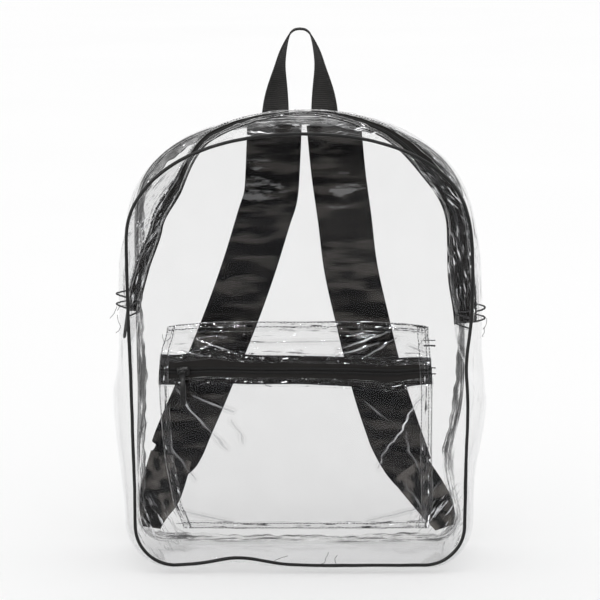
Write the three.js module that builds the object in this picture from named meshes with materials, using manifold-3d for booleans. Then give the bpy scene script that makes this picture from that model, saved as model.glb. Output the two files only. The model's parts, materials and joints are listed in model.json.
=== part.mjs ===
// A clear backpack: a sheet-walled bag with a zip over its arch, a zipped front pocket, two flat
// shoulder straps and a webbing loop to carry it by. Millimetres, +Z up, the front faces -Y, and the
// origin is on the floor under the middle of the base.
import * as THREE from "three";
import Module from "manifold-3d";
import { mergeVertices } from "three/addons/utils/BufferGeometryUtils.js";

const wasm = await Module();
wasm.setup();

// The bag's main sizes.
const BAG_DEPTH = 127; // between the front seam and the back seam
const ARCH_WIDTH = 322; // across the front seam where the arch springs
const FOOT_WIDTH = 310; // across the front seam just above its bottom corners
const BACK_WIDTH = 319; // across the back seam
const FRONT_TOP = 414.5; // height of the front seam's crown
const BACK_TOP = 420; // height of the back seam's crown
const ARCH_RISE = 98; // crown of the front seam above its straight sides
const FRONT_CORNER = 38; // radius of the front seam's bottom corners
const BACK_CORNER = 28; // radius of the back seam's bottom corners
const FRONT_LIFT = 7.5; // front seam's bottom edge above the floor
const BACK_LIFT = 2.2; // back seam's bottom edge above the floor

// Sheets, edges and the room left between pieces.
const SHEET = 1.0; // clear sheet, with its sewn hems
const TAPE_CLOTH = 1.0; // woven zip tape
const GAP = 0.3; // between pieces that are sewn to each other
const PIPING = 3.2; // cord in the seams, across
const FRONT_DOME = 8; // middle of the front panel ahead of its seam
const BACK_BOW = 2.5; // middle of the back panel behind its seam

// The zip over the arch.
const MAIN_ZIP_LEFT_END = 243; // height of its left end
const MAIN_ZIP_RIGHT_END = 230; // height of its right end
const TAPE_WIDTH = 30; // both tapes and the teeth between them
const COIL_WIDTH = 6; // closed teeth
const COIL_HEIGHT = 2.6;

// The front pocket.
const POCKET_WIDTH = 256; // at its zip
const POCKET_SHIFT = -3.5; // its middle, to the side of the bag's middle
const POCKET_BOTTOM = 44; // height of its bottom edge
const POCKET_TOP = 241; // height of its top edge
const POCKET_ZIP_HEIGHT = 196.5; // height of its zip's teeth
const POCKET_TAPE_WIDTH = 27;
const POCKET_PUFF = 12; // its face ahead of the front panel
const POCKET_DROOP = 5; // both ends of its top edge below the middle
const POCKET_SLIDER_FROM_LEFT = 24; // slider, from the pocket's left edge

// Zip sliders and pull tabs.
const SLIDER_LENGTH = 12;
const SLIDER_WIDTH = 9;
const SLIDER_THICK = 3;
const PULL_LENGTH = 32;
const PULL_WIDTH = 5.3;
const PULL_THICK = 1.2;
const PIN_RADIUS = 0.8;
const PIN_CLEARANCE = 0.35; // pull's eye around the pin, and beside the ears
const EAR_THICK = 1.2;

// Shoulder straps and the webbing below them.
const STRAP_WIDTH = 53;
const STRAP_THICK = 3.5;
const STRAP_BOW = 38; // most that a strap stands off the back panel
const WEBBING_WIDTH = 42; // where it leaves the strap
const WEBBING_THICK = 2;

// The loop to carry the bag by.
const HANDLE_RISE = 84; // its top above the back seam's crown
const HANDLE_WIDTH = 26; // webbing
const HANDLE_THICK = 1.6;
const HANDLE_SPREAD = 49; // between the middles of its two feet

const HALF_DEPTH = BAG_DEPTH / 2;
const PIPING_RADIUS = PIPING / 2;

// The two seam outlines. A dent pulls one side in; side is -1 left or 1 right, and height, depth and
// reach are shares of the face's top height, its half width and its top height.
const FRONT_FACE = {
  y: -HALF_DEPTH,
  halfArch: ARCH_WIDTH / 2,
  halfFoot: FOOT_WIDTH / 2,
  bottom: FRONT_LIFT,
  top: FRONT_TOP,
  corner: FRONT_CORNER,
  power: { left: 2.1, right: 2.2 },
  wave: { height: 7, middle: -0.36, reach: 0.2 },
  dents: [
    { side: 1, height: 0.48, depth: 0.022, reach: 0.07 },
    { side: 1, height: 0.82, depth: 0.018, reach: 0.08 },
  ],
};
const BACK_FACE = {
  y: HALF_DEPTH,
  halfArch: BACK_WIDTH / 2,
  halfFoot: BACK_WIDTH / 2,
  bottom: BACK_LIFT,
  top: BACK_TOP,
  corner: BACK_CORNER,
  power: { left: 2.3, right: 2.3 },
  wave: { height: 0, middle: 0, reach: 1 },
  dents: [
    { side: 1, height: 0.2, depth: 0.075, reach: 0.1 },
    { side: -1, height: 0.36, depth: 0.012, reach: 0.14 },
  ],
};

// How the arch zip lies, from its left end (0) to its right end (1). front_edge and back_edge say how
// far each long edge of the tape stands outside the seam line, depth is where its middle lies from
// front (0) to back (1), and rear is how far the clear strip behind it bulges. Lengths are shares of
// the bag's depth.
const ZIP_LIE = [
  { along: 0.0, front_edge: -0.06, back_edge: 0.05, depth: 0.45, rear: 0.12 },
  { along: 0.07, front_edge: -0.14, back_edge: -0.03, depth: 0.45, rear: 0.115 },
  { along: 0.13, front_edge: -0.235, back_edge: -0.14, depth: 0.48, rear: 0.06 },
  { along: 0.24, front_edge: -0.25, back_edge: -0.17, depth: 0.55, rear: 0.02 },
  { along: 0.34, front_edge: -0.03, back_edge: 0.01, depth: 0.66, rear: 0.03 },
  { along: 0.5, front_edge: 0.08, back_edge: 0.08, depth: 0.6, rear: 0.06 },
  { along: 0.62, front_edge: 0.02, back_edge: 0.08, depth: 0.36, rear: 0.08 },
  { along: 0.72, front_edge: -0.13, back_edge: 0.01, depth: 0.32, rear: 0.05 },
  { along: 0.82, front_edge: -0.16, back_edge: -0.01, depth: 0.35, rear: 0.05 },
  { along: 0.92, front_edge: -0.16, back_edge: 0.04, depth: 0.4, rear: 0.11 },
  { along: 1.0, front_edge: -0.1, back_edge: 0.07, depth: 0.42, rear: 0.13 },
];

// How far the lower gusset bulges past the seams, by height as a share of the back seam's top.
const SIDE_BULGE = [
  { height: 0.0, out: 0.075 },
  { height: 0.1, out: 0.075 },
  { height: 0.19, out: 0.1 },
  { height: 0.36, out: 0.155 },
  { height: 0.5, out: 0.14 },
  { height: 1.0, out: 0.1 },
];

// The pocket's sides, by height as a share of the pocket's own height: how far each side steps in,
// as a share of its width.
const POCKET_SIDES = [
  { height: 0.0, left: 0.085, right: 0.012 },
  { height: 0.12, left: 0.05, right: 0.0 },
  { height: 0.36, left: 0.018, right: 0.004 },
  { height: 0.7, left: 0.0, right: 0.004 },
  { height: 0.85, left: 0.008, right: 0.012 },
  { height: 1.0, left: 0.032, right: 0.02 },
];

// Each shoulder strap's middle line, from its top end (0) to its padded end (1): side as a share of
// half the back's width, height as a share of the back's top, off as a share of the strap's bow.
const LEFT_STRAP_LINE = [
  { along: 0.0, side: -0.155, height: 0.985, off: 0.0 },
  { along: 0.13, side: -0.18, height: 0.87, off: 0.42 },
  { along: 0.26, side: -0.23, height: 0.76, off: 0.78 },
  { along: 0.4, side: -0.31, height: 0.64, off: 0.95 },
  { along: 0.55, side: -0.43, height: 0.52, off: 1.0 },
  { along: 0.75, side: -0.6, height: 0.36, off: 0.9 },
  { along: 0.9, side: -0.715, height: 0.26, off: 0.7 },
  { along: 1.0, side: -0.79, height: 0.19, off: 0.5 },
];
const RIGHT_STRAP_LINE = [
  { along: 0.0, side: 0.205, height: 0.987, off: 0.0 },
  { along: 0.13, side: 0.235, height: 0.87, off: 0.42 },
  { along: 0.26, side: 0.275, height: 0.76, off: 0.78 },
  { along: 0.4, side: 0.315, height: 0.64, off: 0.95 },
  { along: 0.55, side: 0.385, height: 0.52, off: 1.0 },
  { along: 0.75, side: 0.49, height: 0.36, off: 0.9 },
  { along: 0.9, side: 0.585, height: 0.25, off: 0.7 },
  { along: 1.0, side: 0.67, height: 0.16, off: 0.5 },
];

// The webbing from under each strap's end (0) to the corner seam (1): side and height as for the
// straps, off as a share of how far the strap's end stands off, width as a share of its widest.
const LEFT_WEBBING_LINE = [
  { along: 0.0, side: -0.8, height: 0.198, off: 1.0, width: 1.0 },
  { along: 0.45, side: -0.865, height: 0.115, off: 0.6, width: 0.98 },
  { along: 0.75, side: -0.905, height: 0.07, off: 0.3, width: 0.72 },
  { along: 1.0, side: -0.92, height: 0.034, off: 0.0, width: 0.42 },
];
const RIGHT_WEBBING_LINE = [
  { along: 0.0, side: 0.675, height: 0.17, off: 1.0, width: 1.0 },
  { along: 0.45, side: 0.81, height: 0.102, off: 0.6, width: 0.9 },
  { along: 0.75, side: 0.87, height: 0.062, off: 0.3, width: 0.74 },
  { along: 1.0, side: 0.895, height: 0.034, off: 0.0, width: 0.45 },
];

// The carry loop, from its left foot (0) to its top (0.5), and the same back down to the other foot:
// side as a share of half the spread, rise as a share of the loop's rise, and turn in degrees from
// lying flat to the front to standing edge on.
const HANDLE_LINE = [
  { along: 0.0, side: 0.98, rise: 0.0, turn: 8 },
  { along: 0.13, side: 0.92, rise: 0.27, turn: 38 },
  { along: 0.26, side: 0.81, rise: 0.54, turn: 66 },
  { along: 0.35, side: 0.66, rise: 0.75, turn: 78 },
  { along: 0.43, side: 0.44, rise: 0.92, turn: 88 },
  { along: 0.47, side: 0.24, rise: 0.985, turn: 90 },
  { along: 0.5, side: 0.0, rise: 1.0, turn: 90 },
];

// Mesh divisions.
const LOOP_STEPS = 72; // round a whole seam
const LOWER_STEPS = 42; // round the lower gusset
const ZIP_STEPS = 36; // along the arch zip
const POCKET_STEPS = 18; // from the left to the right edge of the pocket
const OUTLINE_SAMPLES = 60; // on each of the outline's straights and curves

const lerp = THREE.MathUtils.lerp;
const clamp = THREE.MathUtils.clamp;
const smooth = THREE.MathUtils.smoothstep;

// A smooth curve through one column of a table at a place along its key column.
function readTable(table, key, at, column) {
  const last = table.length - 1;
  const place = clamp(at, table[0][key], table[last][key]);
  let row = 0;
  while (row < last - 1 && place > table[row + 1][key]) {
    row += 1;
  }
  const value = (index) => table[clamp(index, 0, last)][column];
  const span = table[row + 1][key] - table[row][key];
  const t = (place - table[row][key]) / span;
  const rise = 0.5 * (value(row + 1) - value(row - 1));
  const fall = 0.5 * (value(row + 2) - value(row));
  const t2 = t * t;
  const t3 = t2 * t;
  const start = (2 * t3 - 3 * t2 + 1) * value(row) + (t3 - 2 * t2 + t) * rise;
  const end = (3 * t2 - 2 * t3) * value(row + 1) + (t3 - t2) * fall;
  return start + end;
}

// One half of a seam's outline, from the middle of its bottom up one side to its crown.
function halfOutline(face, side) {
  const power = side < 0 ? face.power.left : face.power.right;
  const springs = face.top - ARCH_RISE;
  const cornerTop = face.bottom + face.corner;
  const points = [];
  for (let i = 0; i < OUTLINE_SAMPLES; i += 1) {
    points.push([((face.halfFoot - face.corner) * i) / OUTLINE_SAMPLES, face.bottom]);
  }
  for (let i = 0; i < OUTLINE_SAMPLES; i += 1) {
    const turn = (Math.PI / 2) * (i / OUTLINE_SAMPLES);
    const x = face.halfFoot - face.corner + face.corner * Math.sin(turn);
    points.push([x, cornerTop - face.corner * Math.cos(turn)]);
  }
  for (let i = 0; i < OUTLINE_SAMPLES; i += 1) {
    const t = i / OUTLINE_SAMPLES;
    points.push([lerp(face.halfFoot, face.halfArch, smooth(t, 0, 1)), lerp(cornerTop, springs, t)]);
  }
  for (let i = 0; i <= OUTLINE_SAMPLES; i += 1) {
    const turn = (Math.PI / 2) * (i / OUTLINE_SAMPLES);
    const x = face.halfArch * Math.max(0, Math.cos(turn)) ** (2 / power);
    points.push([x, springs + ARCH_RISE * Math.sin(turn) ** (2 / power)]);
  }
  return points.map(([x, z]) => {
    let reach = x;
    for (const dent of face.dents.filter((one) => one.side === side)) {
      const away = (z / face.top - dent.height) / dent.reach;
      reach -= dent.depth * x * Math.exp(-away * away);
    }
    const sway = (side * reach) / face.halfArch - face.wave.middle;
    const low = 1 - smooth(z, face.bottom, cornerTop);
    const lift = face.wave.height * low * Math.exp(-((sway / face.wave.reach) ** 2));
    return new THREE.Vector2(side * reach, z + lift);
  });
}

// A whole outline as a closed list: up the right side, over the crown and down the left side.
function wholeOutline(face) {
  const right = halfOutline(face, 1);
  const left = halfOutline(face, -1);
  return [...right, ...left.slice(0, -1).reverse()];
}

const frontLine = wholeOutline(FRONT_FACE);
const backLine = wholeOutline(BACK_FACE);
const loopLengths = [0];
for (let i = 1; i < frontLine.length; i += 1) {
  loopLengths.push(loopLengths[i - 1] + frontLine[i].distanceTo(frontLine[i - 1]));
}
const LOOP_LENGTH = loopLengths[loopLengths.length - 1];

// The point of an outline at a share of the way round the seam. Both seams share the same stations,
// evenly spaced on the front one.
function seamPoint(line, share) {
  const target = (share - Math.floor(share)) * LOOP_LENGTH;
  let i = loopLengths.findIndex((length) => length > target);
  i = i < 1 ? 1 : i;
  const t = (target - loopLengths[i - 1]) / (loopLengths[i] - loopLengths[i - 1]);
  return line[i - 1].clone().lerp(line[i], t);
}

// The way out of the bag, square to the seams, at a share of the way round.
function outwardAt(share) {
  const step = 6 / LOOP_LENGTH;
  const mid = (at) => seamPoint(frontLine, at).add(seamPoint(backLine, at));
  const along = mid(share + step).sub(mid(share - step)).normalize();
  return new THREE.Vector2(along.y, -along.x);
}

// The share of the way round at which one side of the front seam passes a height.
function shareAtHeight(side, height) {
  const crown = frontLine.reduce((best, p, i) => (p.y > frontLine[best].y ? i : best), 0);
  const passes = (p, i) => (side > 0 ? i < crown && p.y >= height : i > crown && p.y <= height);
  return loopLengths[frontLine.findIndex(passes)] / LOOP_LENGTH;
}
const ZIP_RIGHT = shareAtHeight(1, MAIN_ZIP_RIGHT_END);
const ZIP_LEFT = shareAtHeight(-1, MAIN_ZIP_LEFT_END);

// Across the gusset, each station's section passes five points: the front seam, the tape's two edges,
// a point on the strip behind it and the back seam. Each point is how far out it is and its depth.
const EDGE_INSET = PIPING_RADIUS + GAP;
const TAPE_FROM = 0.25;
const TAPE_TO = 0.5;

function zipSection(along) {
  const value = (column) => readTable(ZIP_LIE, "along", along, column);
  const frontOut = value("front_edge") * BAG_DEPTH;
  const backOut = value("back_edge") * BAG_DEPTH;
  const middle = lerp(-HALF_DEPTH, HALF_DEPTH, value("depth"));
  const run = Math.sqrt(Math.max(TAPE_WIDTH ** 2 - (backOut - frontOut) ** 2, 1));
  const behind = (middle + run / 2 + HALF_DEPTH) / 2;
  return [
    [0, -HALF_DEPTH + EDGE_INSET],
    [frontOut, middle - run / 2],
    [backOut, middle + run / 2],
    [value("rear") * BAG_DEPTH, behind],
    [0, HALF_DEPTH - EDGE_INSET],
  ];
}

// The plain bulge has a shoulder on each side of its middle: how far out, as a share of the middle,
// and how far from the middle, as a share of half the depth.
const SHOULDER_OUT = 0.9;
const SHOULDER_DEPTH = 0.55;
function plainSection(share) {
  const height = seamPoint(frontLine, share).y / BACK_TOP;
  const out = readTable(SIDE_BULGE, "height", height, "out") * BAG_DEPTH;
  const inner = HALF_DEPTH - EDGE_INSET;
  return [
    [0, -inner],
    [out * SHOULDER_OUT, -inner * SHOULDER_DEPTH],
    [out, 0],
    [out * SHOULDER_OUT, inner * SHOULDER_DEPTH],
    [0, inner],
  ];
}

// The gusset's skin: share goes round the seam, across goes from the front seam to the back seam.
// Below the zip's ends its section eases into a plain bulge, and the floor flattens the base.
const EASE_LENGTH = 75;
function gussetPoint(share, across) {
  const round = share - Math.floor(share);
  const along = clamp((ZIP_LEFT - round) / (ZIP_LEFT - ZIP_RIGHT), 0, 1);
  const past = Math.max(ZIP_RIGHT - round, round - ZIP_LEFT, 0) * LOOP_LENGTH;
  const ease = smooth(past, 0, EASE_LENGTH);
  const zipPoints = zipSection(along);
  const plainPoints = plainSection(share);
  const points = zipPoints.map(
    ([out, y], i) =>
      new THREE.Vector3(lerp(out, plainPoints[i][0], ease), lerp(y, plainPoints[i][1], ease), 0),
  );
  const at = new THREE.CatmullRomCurve3(points, false, "centripetal").getPoint(clamp(across, 0, 1));
  const depth = (at.y + HALF_DEPTH) / BAG_DEPTH;
  const base = seamPoint(frontLine, share).lerp(seamPoint(backLine, share), depth);
  const outward = outwardAt(share);
  const z = base.y + outward.y * at.x;
  return new THREE.Vector3(base.x + outward.x * at.x, at.y, Math.max(z, SHEET / 2));
}

// A closed mesh from points and triangles, with its faces turned outwards.
function solid(points, triangles) {
  let sixVolumes = 0;
  for (const [a, b, c] of triangles) {
    sixVolumes += points[a].dot(new THREE.Vector3().crossVectors(points[b], points[c]));
  }
  const facing = sixVolumes < 0 ? triangles.map(([a, b, c]) => [a, c, b]) : triangles;
  const geometry = new THREE.BufferGeometry().setFromPoints(points);
  geometry.setIndex(facing.flat());
  geometry.computeVertexNormals();
  return geometry;
}

// A sheet of one thickness over a skin: skin(u, v) is its middle, for u and v from 0 to 1.
function sheet(skin, stepsU, stepsV, thickness) {
  const points = [];
  for (const half of [thickness / 2, -thickness / 2]) {
    for (let i = 0; i <= stepsU; i += 1) {
      for (let j = 0; j <= stepsV; j += 1) {
        const u = i / stepsU;
        const v = j / stepsV;
        const nudge = 0.002;
        const alongU = skin(Math.min(u + nudge, 1), v).sub(skin(Math.max(u - nudge, 0), v));
        const alongV = skin(u, Math.min(v + nudge, 1)).sub(skin(u, Math.max(v - nudge, 0)));
        const out = alongU.cross(alongV).normalize();
        points.push(skin(u, v).addScaledVector(out, half));
      }
    }
  }
  const row = stepsV + 1;
  const under = (stepsU + 1) * row;
  const triangles = [];
  const quad = (a, b, c, d) => triangles.push([a, b, c], [a, c, d]);
  for (let i = 0; i < stepsU; i += 1) {
    for (let j = 0; j < stepsV; j += 1) {
      const a = i * row + j;
      quad(a, a + row, a + row + 1, a + 1);
      quad(under + a, under + a + 1, under + a + row + 1, under + a + row);
    }
    const start = i * row;
    const end = start + stepsV;
    quad(start, under + start, under + start + row, start + row);
    quad(end, end + row, under + end + row, under + end);
  }
  for (let j = 0; j < stepsV; j += 1) {
    const last = stepsU * row + j;
    quad(j, j + 1, under + j + 1, under + j);
    quad(last, under + last, under + last + 1, last + 1);
  }
  return solid(points, triangles);
}

// A round panel of one thickness inside a seam, in rings from its edge to its middle point.
function panel(line, middle, bulge, face, rings, inset, thickness) {
  const points = [];
  for (const half of [thickness / 2, -thickness / 2]) {
    for (let ring = 0; ring < rings; ring += 1) {
      const spread = 1 - ring / rings;
      for (let i = 0; i < LOOP_STEPS; i += 1) {
        const share = i / LOOP_STEPS;
        const edge = seamPoint(line, share).addScaledVector(outwardAt(share), -inset);
        const at = middle.clone().lerp(edge, spread);
        const y = face + bulge(at.x, at.y) * (1 - spread ** 8);
        points.push(new THREE.Vector3(at.x, y + half, at.y));
      }
    }
    points.push(new THREE.Vector3(middle.x, face + bulge(middle.x, middle.y) + half, middle.y));
  }
  const under = rings * LOOP_STEPS + 1;
  const triangles = [];
  for (let i = 0; i < LOOP_STEPS; i += 1) {
    const next = (i + 1) % LOOP_STEPS;
    for (let ring = 0; ring < rings - 1; ring += 1) {
      const [a, b] = [ring * LOOP_STEPS + i, ring * LOOP_STEPS + next];
      const [c, d] = [b + LOOP_STEPS, a + LOOP_STEPS];
      triangles.push([a, b, c], [a, c, d]);
      triangles.push([under + a, under + c, under + b], [under + a, under + d, under + c]);
    }
    const inner = (rings - 1) * LOOP_STEPS;
    triangles.push([inner + i, inner + next, under - 1]);
    triangles.push([under + inner + i, under + under - 1, under + inner + next]);
    triangles.push([i, under + i, under + next], [i, under + next, next]);
  }
  return solid(points, triangles);
}

// A tube of an oval section along a line of stations, closed into a ring or capped at its ends.
// Each station gives its centre and the section's two directions.
function tube(stations, sides, widthRadius, heightRadius, ring) {
  const points = [];
  for (const { centre, across, up } of stations) {
    for (let k = 0; k < sides; k += 1) {
      const turn = (2 * Math.PI * (k + 0.5)) / sides;
      const point = centre.clone().addScaledVector(across, widthRadius * Math.cos(turn));
      points.push(point.addScaledVector(up, heightRadius * Math.sin(turn)));
    }
  }
  const triangles = [];
  const spans = ring ? stations.length : stations.length - 1;
  for (let i = 0; i < spans; i += 1) {
    for (let k = 0; k < sides; k += 1) {
      const [a, b] = [i * sides + k, i * sides + ((k + 1) % sides)];
      const next = ((i + 1) % stations.length) * sides;
      const [c, d] = [next + ((k + 1) % sides), next + k];
      triangles.push([a, b, c], [a, c, d]);
    }
  }
  for (let k = 1; k < sides - 1 && !ring; k += 1) {
    const end = (stations.length - 1) * sides;
    triangles.push([0, k + 1, k], [end, end + k, end + k + 1]);
  }
  return solid(points, triangles);
}

// How far the front panel stands ahead of its seam, and the back panel behind its own.
function swell(x, z, face, height) {
  const side = x / face.halfArch;
  const up = (2 * z - face.top - face.bottom) / (face.top - face.bottom);
  return height * Math.max(0, 1 - side * side) * Math.max(0, 1 - up * up);
}
const frontDome = (x, z) => -swell(x, z, FRONT_FACE, FRONT_DOME);
const backBow = (x, z) => swell(x, z, BACK_FACE, BACK_BOW);

// Materials.
const clearSheet = new THREE.MeshStandardMaterial({
  color: 0xe9edf0,
  roughness: 0.12,
  metalness: 0,
  transparent: true,
  opacity: 0.35,
  side: THREE.DoubleSide,
});
const blackPiping = new THREE.MeshStandardMaterial({ color: 0x1b1a1c, roughness: 0.35, metalness: 0 });
const blackTape = new THREE.MeshStandardMaterial({ color: 0x1d1c1e, roughness: 0.85, metalness: 0 });
const blackTeeth = new THREE.MeshStandardMaterial({ color: 0x171618, roughness: 0.45, metalness: 0 });
const blackMetal = new THREE.MeshStandardMaterial({ color: 0x1e1d1f, roughness: 0.4, metalness: 0.6 });
const blackStrap = new THREE.MeshStandardMaterial({ color: 0x242223, roughness: 0.6, metalness: 0 });
const blackWebbing = new THREE.MeshStandardMaterial({ color: 0x19181a, roughness: 0.8, metalness: 0 });

const bag = new THREE.Group();
function add(name, geometry, material, parent = bag) {
  const mesh = new THREE.Mesh(geometry, material);
  mesh.name = name;
  parent.add(mesh);
  return mesh;
}

// The two big panels, each inside its own seam.
const frontMiddle = new THREE.Vector2(0, (FRONT_TOP + FRONT_LIFT) / 2);
const backMiddle = new THREE.Vector2(0, (BACK_TOP + BACK_LIFT) / 2);
const frontGeometry = panel(frontLine, frontMiddle, frontDome, -HALF_DEPTH, 4, EDGE_INSET, SHEET);
const backGeometry = panel(backLine, backMiddle, backBow, HALF_DEPTH, 3, EDGE_INSET, SHEET);
add("front_panel", frontGeometry, clearSheet);
add("back_panel", backGeometry, clearSheet);

// The piping that closes each seam.
function seamPiping(line, y) {
  const stations = [];
  for (let i = 0; i < LOOP_STEPS; i += 1) {
    const at = seamPoint(line, i / LOOP_STEPS);
    const out = outwardAt(i / LOOP_STEPS);
    const across = new THREE.Vector3(out.x, 0, out.y);
    stations.push({ centre: new THREE.Vector3(at.x, y, at.y), across, up: new THREE.Vector3(0, 1, 0) });
  }
  return tube(stations, 6, PIPING_RADIUS, PIPING_RADIUS, true);
}
add("front_piping", seamPiping(frontLine, -HALF_DEPTH), blackPiping);
add("back_piping", seamPiping(backLine, HALF_DEPTH), blackPiping);

// The lower gusset, from the zip's left end round under the base to its right end.
const endGap = GAP / LOOP_LENGTH;
const lowerFrom = ZIP_LEFT - 1 + endGap;
const lowerTo = ZIP_RIGHT - endGap;
const lowerSkin = (u, v) => gussetPoint(lerp(lowerFrom, lowerTo, u), v);
add("lower_gusset", sheet(lowerSkin, LOWER_STEPS, 9, SHEET), clearSheet);

// The arch zip: two clear strips, two tapes between them and the teeth between the tapes. Each
// takes its own stretch of the section, whose middle half is the tape's width.
const acrossPerMm = (TAPE_TO - TAPE_FROM) / TAPE_WIDTH;
const tapeMiddle = (TAPE_FROM + TAPE_TO) / 2;
const coilHalf = (COIL_WIDTH / 2 + GAP) * acrossPerMm;
const zipSkin = (from, to) => (u, v) => gussetPoint(lerp(ZIP_LEFT, ZIP_RIGHT, u), lerp(from, to, v));
const stripEnd = GAP * acrossPerMm;
const frontStrip = zipSkin(0, TAPE_FROM - stripEnd);
const rearStrip = zipSkin(TAPE_TO + stripEnd, 1);
add("zip_gusset_front", sheet(frontStrip, ZIP_STEPS, 3, SHEET), clearSheet);
add("zip_gusset_rear", sheet(rearStrip, ZIP_STEPS, 4, SHEET), clearSheet);
const frontTape = zipSkin(TAPE_FROM, tapeMiddle - coilHalf);
const rearTape = zipSkin(tapeMiddle + coilHalf, TAPE_TO);
add("main_zip_tape_front", sheet(frontTape, ZIP_STEPS, 1, TAPE_CLOTH), blackTape);
add("main_zip_tape_rear", sheet(rearTape, ZIP_STEPS, 1, TAPE_CLOTH), blackTape);

// Where the tape's middle is at a share round the seam, which way it runs across, and which way is out.
function tapeFrame(share) {
  const centre = gussetPoint(share, tapeMiddle);
  const across = gussetPoint(share, TAPE_TO).sub(gussetPoint(share, TAPE_FROM)).normalize();
  const step = 4 / LOOP_LENGTH;
  const along = gussetPoint(share + step, tapeMiddle).sub(gussetPoint(share - step, tapeMiddle));
  const up = along.clone().cross(across).normalize().negate();
  const outward = outwardAt(share);
  if (up.x * outward.x + up.z * outward.y < 0) {
    up.negate();
  }
  return { centre, across, up };
}
const coilStations = [];
for (let i = 0; i <= ZIP_STEPS; i += 1) {
  const inset = lerp(1, -1, i / ZIP_STEPS) * endGap;
  coilStations.push(tapeFrame(lerp(ZIP_LEFT, ZIP_RIGHT, i / ZIP_STEPS) - inset));
}
add("main_zip_coil", tube(coilStations, 6, COIL_WIDTH / 2, COIL_HEIGHT / 2, false), blackTeeth);

// The front pocket: one skin ahead of the front panel. across goes from its left to its right edge.
function pocketSide(height, side) {
  const share = (height - POCKET_BOTTOM) / (POCKET_TOP - POCKET_BOTTOM);
  const inset = readTable(POCKET_SIDES, "height", share, side < 0 ? "left" : "right");
  return POCKET_SHIFT + side * POCKET_WIDTH * (0.5 - inset);
}
function pocketPoint(across, height) {
  const x = lerp(pocketSide(height, -1), pocketSide(height, 1), across);
  const rise = (height - POCKET_BOTTOM) / (POCKET_TOP - POCKET_BOTTOM);
  const side = 2 * across - 1;
  const puffed = POCKET_PUFF * (1 - side ** 4) * Math.max(0, 1 - (2 * rise - 1) ** 4);
  const seat = -HALF_DEPTH + frontDome(x, height) - SHEET - GAP;
  const droop = POCKET_DROOP * Math.abs(side) ** 4 * Math.max(0, 2 * rise - 1);
  return new THREE.Vector3(x, seat - puffed, height - droop);
}
const pocketBand = (from, to) => (u, v) => pocketPoint(v, lerp(from, to, u));
const zipBandTop = POCKET_ZIP_HEIGHT + POCKET_TAPE_WIDTH / 2;
const zipBandBottom = POCKET_ZIP_HEIGHT - POCKET_TAPE_WIDTH / 2;
const teethTop = POCKET_ZIP_HEIGHT + COIL_WIDTH / 2 + GAP;
const teethBottom = POCKET_ZIP_HEIGHT - COIL_WIDTH / 2 - GAP;
const pocketPieces = [
  { name: "pocket_panel", low: POCKET_BOTTOM, high: zipBandBottom - GAP, rows: 11, vinyl: true },
  { name: "pocket_top_strip", low: zipBandTop + GAP, high: POCKET_TOP, rows: 3, vinyl: true },
  { name: "pocket_zip_tape_lower", low: zipBandBottom, high: teethBottom, rows: 1, vinyl: false },
  { name: "pocket_zip_tape_upper", low: teethTop, high: zipBandTop, rows: 1, vinyl: false },
];
for (const { name, low, high, rows, vinyl } of pocketPieces) {
  const thick = vinyl ? SHEET : TAPE_CLOTH;
  const material = vinyl ? clearSheet : blackTape;
  add(name, sheet(pocketBand(low, high), rows, POCKET_STEPS, thick), material);
}
const pocketCoil = [];
for (let i = 0; i <= POCKET_STEPS; i += 1) {
  const centre = pocketPoint(i / POCKET_STEPS, POCKET_ZIP_HEIGHT);
  pocketCoil.push({ centre, across: new THREE.Vector3(0, 0, 1), up: new THREE.Vector3(0, -1, 0) });
}
add("pocket_zip_coil", tube(pocketCoil, 6, COIL_WIDTH / 2, COIL_HEIGHT / 2, false), blackTeeth);

// A geometry as a solid for joining and cutting, and back.
function toManifold(geometry) {
  const bare = geometry.index ? geometry.toNonIndexed() : geometry.clone();
  bare.deleteAttribute("normal");
  bare.deleteAttribute("uv");
  const merged = mergeVertices(bare, 1e-4);
  return new wasm.Manifold(
    new wasm.Mesh({
      numProp: 3,
      vertProperties: merged.attributes.position.array,
      triVerts: new Uint32Array(merged.index.array),
    }),
  );
}
function fromManifold(body) {
  const mesh = body.getMesh();
  const geometry = new THREE.BufferGeometry();
  geometry.setAttribute("position", new THREE.BufferAttribute(mesh.vertProperties, 3));
  geometry.setIndex(new THREE.BufferAttribute(mesh.triVerts, 1));
  geometry.computeVertexNormals();
  return geometry;
}

// A slider seen from outside, in its own frame: it sits on the teeth at y = 0, outside is -Y, the pin
// runs along X, and the pull hangs to -Z. across and tall are its size along X and Z.
const EYE_ROOM = 1.1; // between the slider's face and the bore of the eye
const EAR_BEYOND = 0.5; // how far an ear reaches past its pin
const EAR_TALL = 3.2;
const PIN_OUT = SLIDER_THICK + PIN_RADIUS + PIN_CLEARANCE + EYE_ROOM; // pin's middle, from the teeth
function sliderGeometry(across, tall) {
  const body = new THREE.BoxGeometry(across, SLIDER_THICK, tall).translate(0, -SLIDER_THICK / 2, 0);
  const reach = PIN_OUT + PIN_RADIUS + EAR_BEYOND - SLIDER_THICK / 2;
  const earPlace = PULL_WIDTH / 2 + PIN_CLEARANCE + EAR_THICK / 2;
  let made = toManifold(body);
  for (const side of [-1, 1]) {
    const ear = new THREE.BoxGeometry(EAR_THICK, reach, EAR_TALL);
    made = made.add(toManifold(ear.translate(side * earPlace, -SLIDER_THICK / 2 - reach / 2, 0)));
  }
  const pin = new THREE.CylinderGeometry(PIN_RADIUS, PIN_RADIUS, 2 * earPlace, 12);
  pin.rotateZ(Math.PI / 2).translate(0, -PIN_OUT, 0);
  return fromManifold(made.add(toManifold(pin)));
}

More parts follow.
